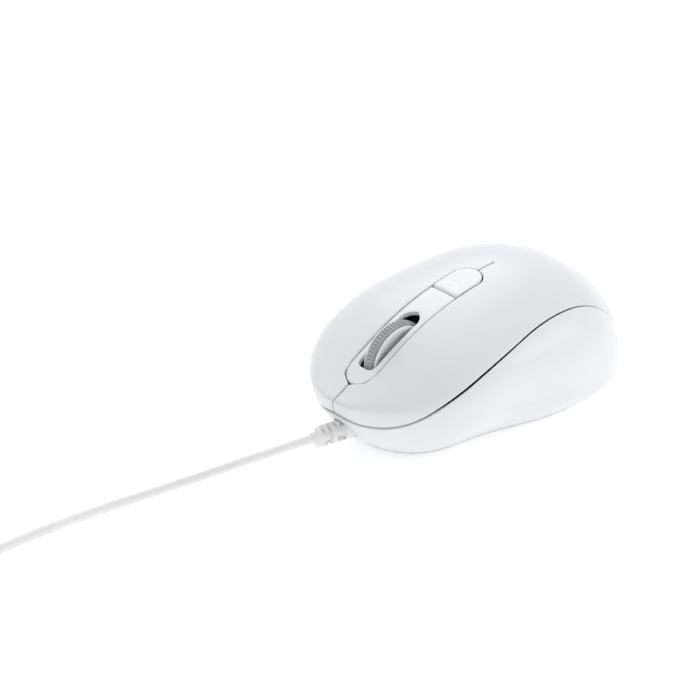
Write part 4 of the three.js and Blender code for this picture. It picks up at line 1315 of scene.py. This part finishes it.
def relief_matrix(s):
    """From a part made along +Z to the cable's exit, at a distance along it."""
    along, across, up = relief_frame()
    turn = Matrix((
        (across[0], up[0], along[0]),
        (across[1], up[1], along[1]),
        (across[2], up[2], along[2]),
    ))
    if turn.determinant() < 0:
        turn = turn @ Matrix.Diagonal((-1, 1, 1))
    return Matrix.Translation(Vector(relief_point(s)) * MM) @ turn.to_4x4()


def make_relief_core():
    profile = [(0, -8.5), (3.4, -8.5), (3.5, -8.4), (3.5, -7.3), (3.4, -7.2), (2.5, -7.2), (2.45, -0.5),
               (2.3, -0.3), (1.85, 0.1), (1.8, 7.8), (1.8, 8.3), (1.7, 9.0),
               (1.5, RELIEF_LENGTH), (0, RELIEF_LENGTH)]
    return place_mesh(lathe("relief_core", profile, JACKET_WHITE, 48), relief_matrix(0))


def make_relief_collar():
    """Short spout of the case round the cable's exit."""
    profile = [(2.62, -3.6), (3.15, -3.6), (3.12, -1.3), (3.02, -0.65), (2.85, -0.45), (2.66, -0.5)]
    return place_mesh(lathe("cable_spout", profile, CASE_WHITE, 64), relief_matrix(0))


def make_relief_ribs():
    """Broken rings, each turned against the last, so that the relief bends both ways."""
    steps = 18
    reach = math.radians(128)
    outer, inner = [], []
    for k in range(steps + 1):
        angle = -reach + 2 * reach * k / steps
        outer.append((3.05 * math.cos(angle), 3.05 * math.sin(angle)))
        inner.append((1.6 * math.cos(angle), 1.6 * math.sin(angle)))
    rib = block("relief_ribs", outer + inner[::-1], 1.5, JACKET_WHITE, 0.2)
    rib.data.transform(Matrix.Rotation(math.radians(200), 4, "Z"))
    repeated(rib, ROW, {"Count": 4, "Pitch": 2.15 * MM, "Turn": math.radians(165)})
    return place_mesh(rib, relief_matrix(0.9))


# ---------------------------------------------------------------- underside, plug and tie


def rounded_rectangle(x0, x1, y0, y1, radius):
    return rounded([(x0, y0), (x1, y0), (x1, y1), (x0, y1)], [radius] * 4, 6)


def make_foot(name, node):
    low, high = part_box(node)
    low, high = low / MM, high / MM
    pad = block(name, rounded_rectangle(low.x, high.x, low.y, high.y, 3), high.z - low.z, GLIDE_GREY, 0.25)
    return place_mesh(pad, Matrix.Translation((0, 0, (low.z + high.z) / 2 * MM)))


def make_screws():
    """Three pan-head screws with a cross recess, seen at the bottom of their wells."""
    profile = [(0, 1.95), (0.35, 1.95), (0.35, 1.75), (1.9, 1.7), (2.35, 1.85),
               (2.6, 2.15), (2.6, 2.9), (1.25, 2.95), (1.2, 14), (0, 16)]
    head = lathe("case_screws", profile, PLATED_STEEL, 40)
    arm = block("recess", [(-1.35, -0.3), (1.35, -0.3), (1.35, 0.3), (-1.35, 0.3)], 1.2, MOULDED_BLACK, 0)
    form = bmesh.new()
    for angle in (0, 90):
        copy = arm.data.copy()
        copy.transform(Matrix.Translation((0, 0, 2.05 * MM)) @ Matrix.Rotation(math.radians(angle), 4, "Z"))
        form.from_mesh(copy)
    form.to_mesh(arm.data)
    form.free()
    cut = head.modifiers.new("cross", "BOOLEAN")
    cut.operation = "DIFFERENCE"
    cut.use_self = True
    cut.object = arm
    bpy.context.view_layer.update()
    seen = head.evaluated_get(bpy.context.evaluated_depsgraph_get())
    one = bpy.data.meshes.new_from_object(seen)
    head.modifiers.clear()
    form = bmesh.new()
    for x, y in SCREW_PLACES:
        copy = one.copy()
        copy.transform(Matrix.Translation((x * MM, y * MM, 0)))
        form.from_mesh(copy)
    form.to_mesh(head.data)
    form.free()
    bpy.data.objects.remove(arm)
    head.data.shade_smooth()
    head.data.set_sharp_from_angle(angle=math.radians(35))
    return head


def make_plug_grip():
    """Overmoulded grip: a rounded block that narrows to the cord."""
    low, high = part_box("plug_body")
    low, high = low / MM, high / MM
    centre = (low + high) / 2
    half = (high - low) / 2
    outline = rounded(
        [(-half.x, -half.y + 7), (-half.x + 4.6, -half.y + 0.6), (-3.2, -half.y), (3.2, -half.y),
         (half.x - 4.6, -half.y + 0.6), (half.x, -half.y + 7), (half.x, half.y), (-half.x, half.y)],
        [3, 2, 0.8, 0.8, 2, 3, 0.9, 0.9], 5,
    )
    grip = block("plug_grip", outline, 2 * half.z, JACKET_WHITE, 0.9)
    return place_mesh(grip, Matrix.Translation(Vector(centre) * MM))


def make_tie():
    """Strap round the coil with rounded edges."""
    source = frame["nodes"]["coil_tie"].data
    form = bmesh.new()
    form.from_mesh(source)
    bmesh.ops.remove_doubles(form, verts=form.verts, dist=1e-6)
    bmesh.ops.dissolve_limit(form, angle_limit=math.radians(2), verts=form.verts, edges=form.edges)
    bmesh.ops.bevel(form, geom=list(form.edges), offset=0.12 * MM, segments=2, affect="EDGES",
                    clamp_overlap=True)
    mesh = bpy.data.meshes.new("coil_strap")
    form.to_mesh(mesh)
    form.free()
    mesh.shade_smooth()
    mesh.set_sharp_from_angle(angle=math.radians(40))
    mesh.materials.append(MOULDED_BLACK)
    piece = bpy.data.objects.new("coil_strap", mesh)
    bpy.context.scene.collection.objects.link(piece)
    return piece


# ---------------------------------------------------------------- stage


def add_floor():
    mesh = bpy.data.meshes.new("floor")
    mesh.from_pydata([(-4, -4, 0), (4, -4, 0), (4, 4, 0), (-4, 4, 0)], [], [(0, 1, 2, 3)])
    material = surface("pale_floor", (0.9, 0.9, 0.9), (0.89, 0.89, 0.89), (0.75, 0.85), 40.0, 0.0,
                       patch_scale=3.0)
    shader = material.node_tree.nodes["Principled BSDF"]
    shader.inputs["Emission Color"].default_value = (1, 1, 1, 1)
    shader.inputs["Emission Strength"].default_value = FLOOR_GLOW
    mesh.materials.append(material)
    floor = bpy.data.objects.new("floor", mesh)
    bpy.context.scene.collection.objects.link(floor)


FLOOR_GLOW = 0.34
SKY_STRENGTH = 0.8


def add_light(name, place, aim, size, power):
    data = bpy.data.lights.new(name, "AREA")
    data.shape = "DISK"
    data.size = size
    data.energy = power
    light = bpy.data.objects.new(name, data)
    light.location = place
    light.rotation_mode = "QUATERNION"
    light.rotation_quaternion = (Vector(aim) - Vector(place)).to_track_quat("-Z", "Y")
    bpy.context.scene.collection.objects.link(light)


def add_studio():
    world = bpy.data.worlds.new("studio")
    world.use_nodes = True
    sky = world.node_tree.nodes["Background"]
    sky.inputs["Color"].default_value = (0.97, 0.98, 1.0, 1)
    sky.inputs["Strength"].default_value = SKY_STRENGTH
    bpy.context.scene.world = world
    bpy.context.scene.view_settings.view_transform = "Standard"
    add_light("key", (-1.0, 0.7, 1.2), (0, 0, 0), 1.2, 9)
    add_light("side", (1.0, 1.1, 0.6), (0, 0, 0.02), 0.6, 2.8)
    add_floor()


add_studio()

# ---------------------------------------------------------------- the assembly


def ride_base(piece, slot, *nodes):
    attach(piece, "mouse_base")
    if nodes:
        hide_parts(*nodes)


left_cover, right_cover = make_keys()
for cover, name in ((left_cover, "left_key"), (right_cover, "right_key")):
    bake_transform(cover)
    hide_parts(name)

ride_base(make_palm(), "shell", "palm_cover")
ride_base(make_strip(), "case", "wheel_bezel")
ride_base(make_case(), "case", "bottom_case")

button = make_button()
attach(button, "small_button")
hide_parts("small_button")
mark = make_mark()
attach(mark, "small_button")

for piece, slot, node in (
    (make_hub(), "case", "wheel_hub"),
    (make_tyre_band(), "tyre", "wheel_tyre"),
    (make_tyre_ribs(), "tyre", "wheel_tyre"),
):
    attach(piece, "wheel")
    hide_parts(node)

ride_base(make_foot("front_glide", "foot_front"), "glide", "foot_front")
ride_base(make_foot("rear_glide", "foot_rear"), "glide", "foot_rear")
ride_base(make_screws(), "steel", "screw_front", "screw_rear_left", "screw_rear_right")

relief_core = make_relief_core()
relief_ribs = make_relief_ribs()
plug_grip = make_plug_grip()
strap = make_tie()
ride_base(relief_core, "cord", "strain_relief")
ride_base(relief_ribs, "cord", "strain_relief")
ride_base(make_relief_collar(), "case")
ride_base(plug_grip, "cord", "plug_body")
ride_base(strap, "black", "coil_tie")

cord.data.materials.append(JACKET_WHITE)
ride_base(cord, "cord", "cord_lead", "cord_coil", "cord_tail")
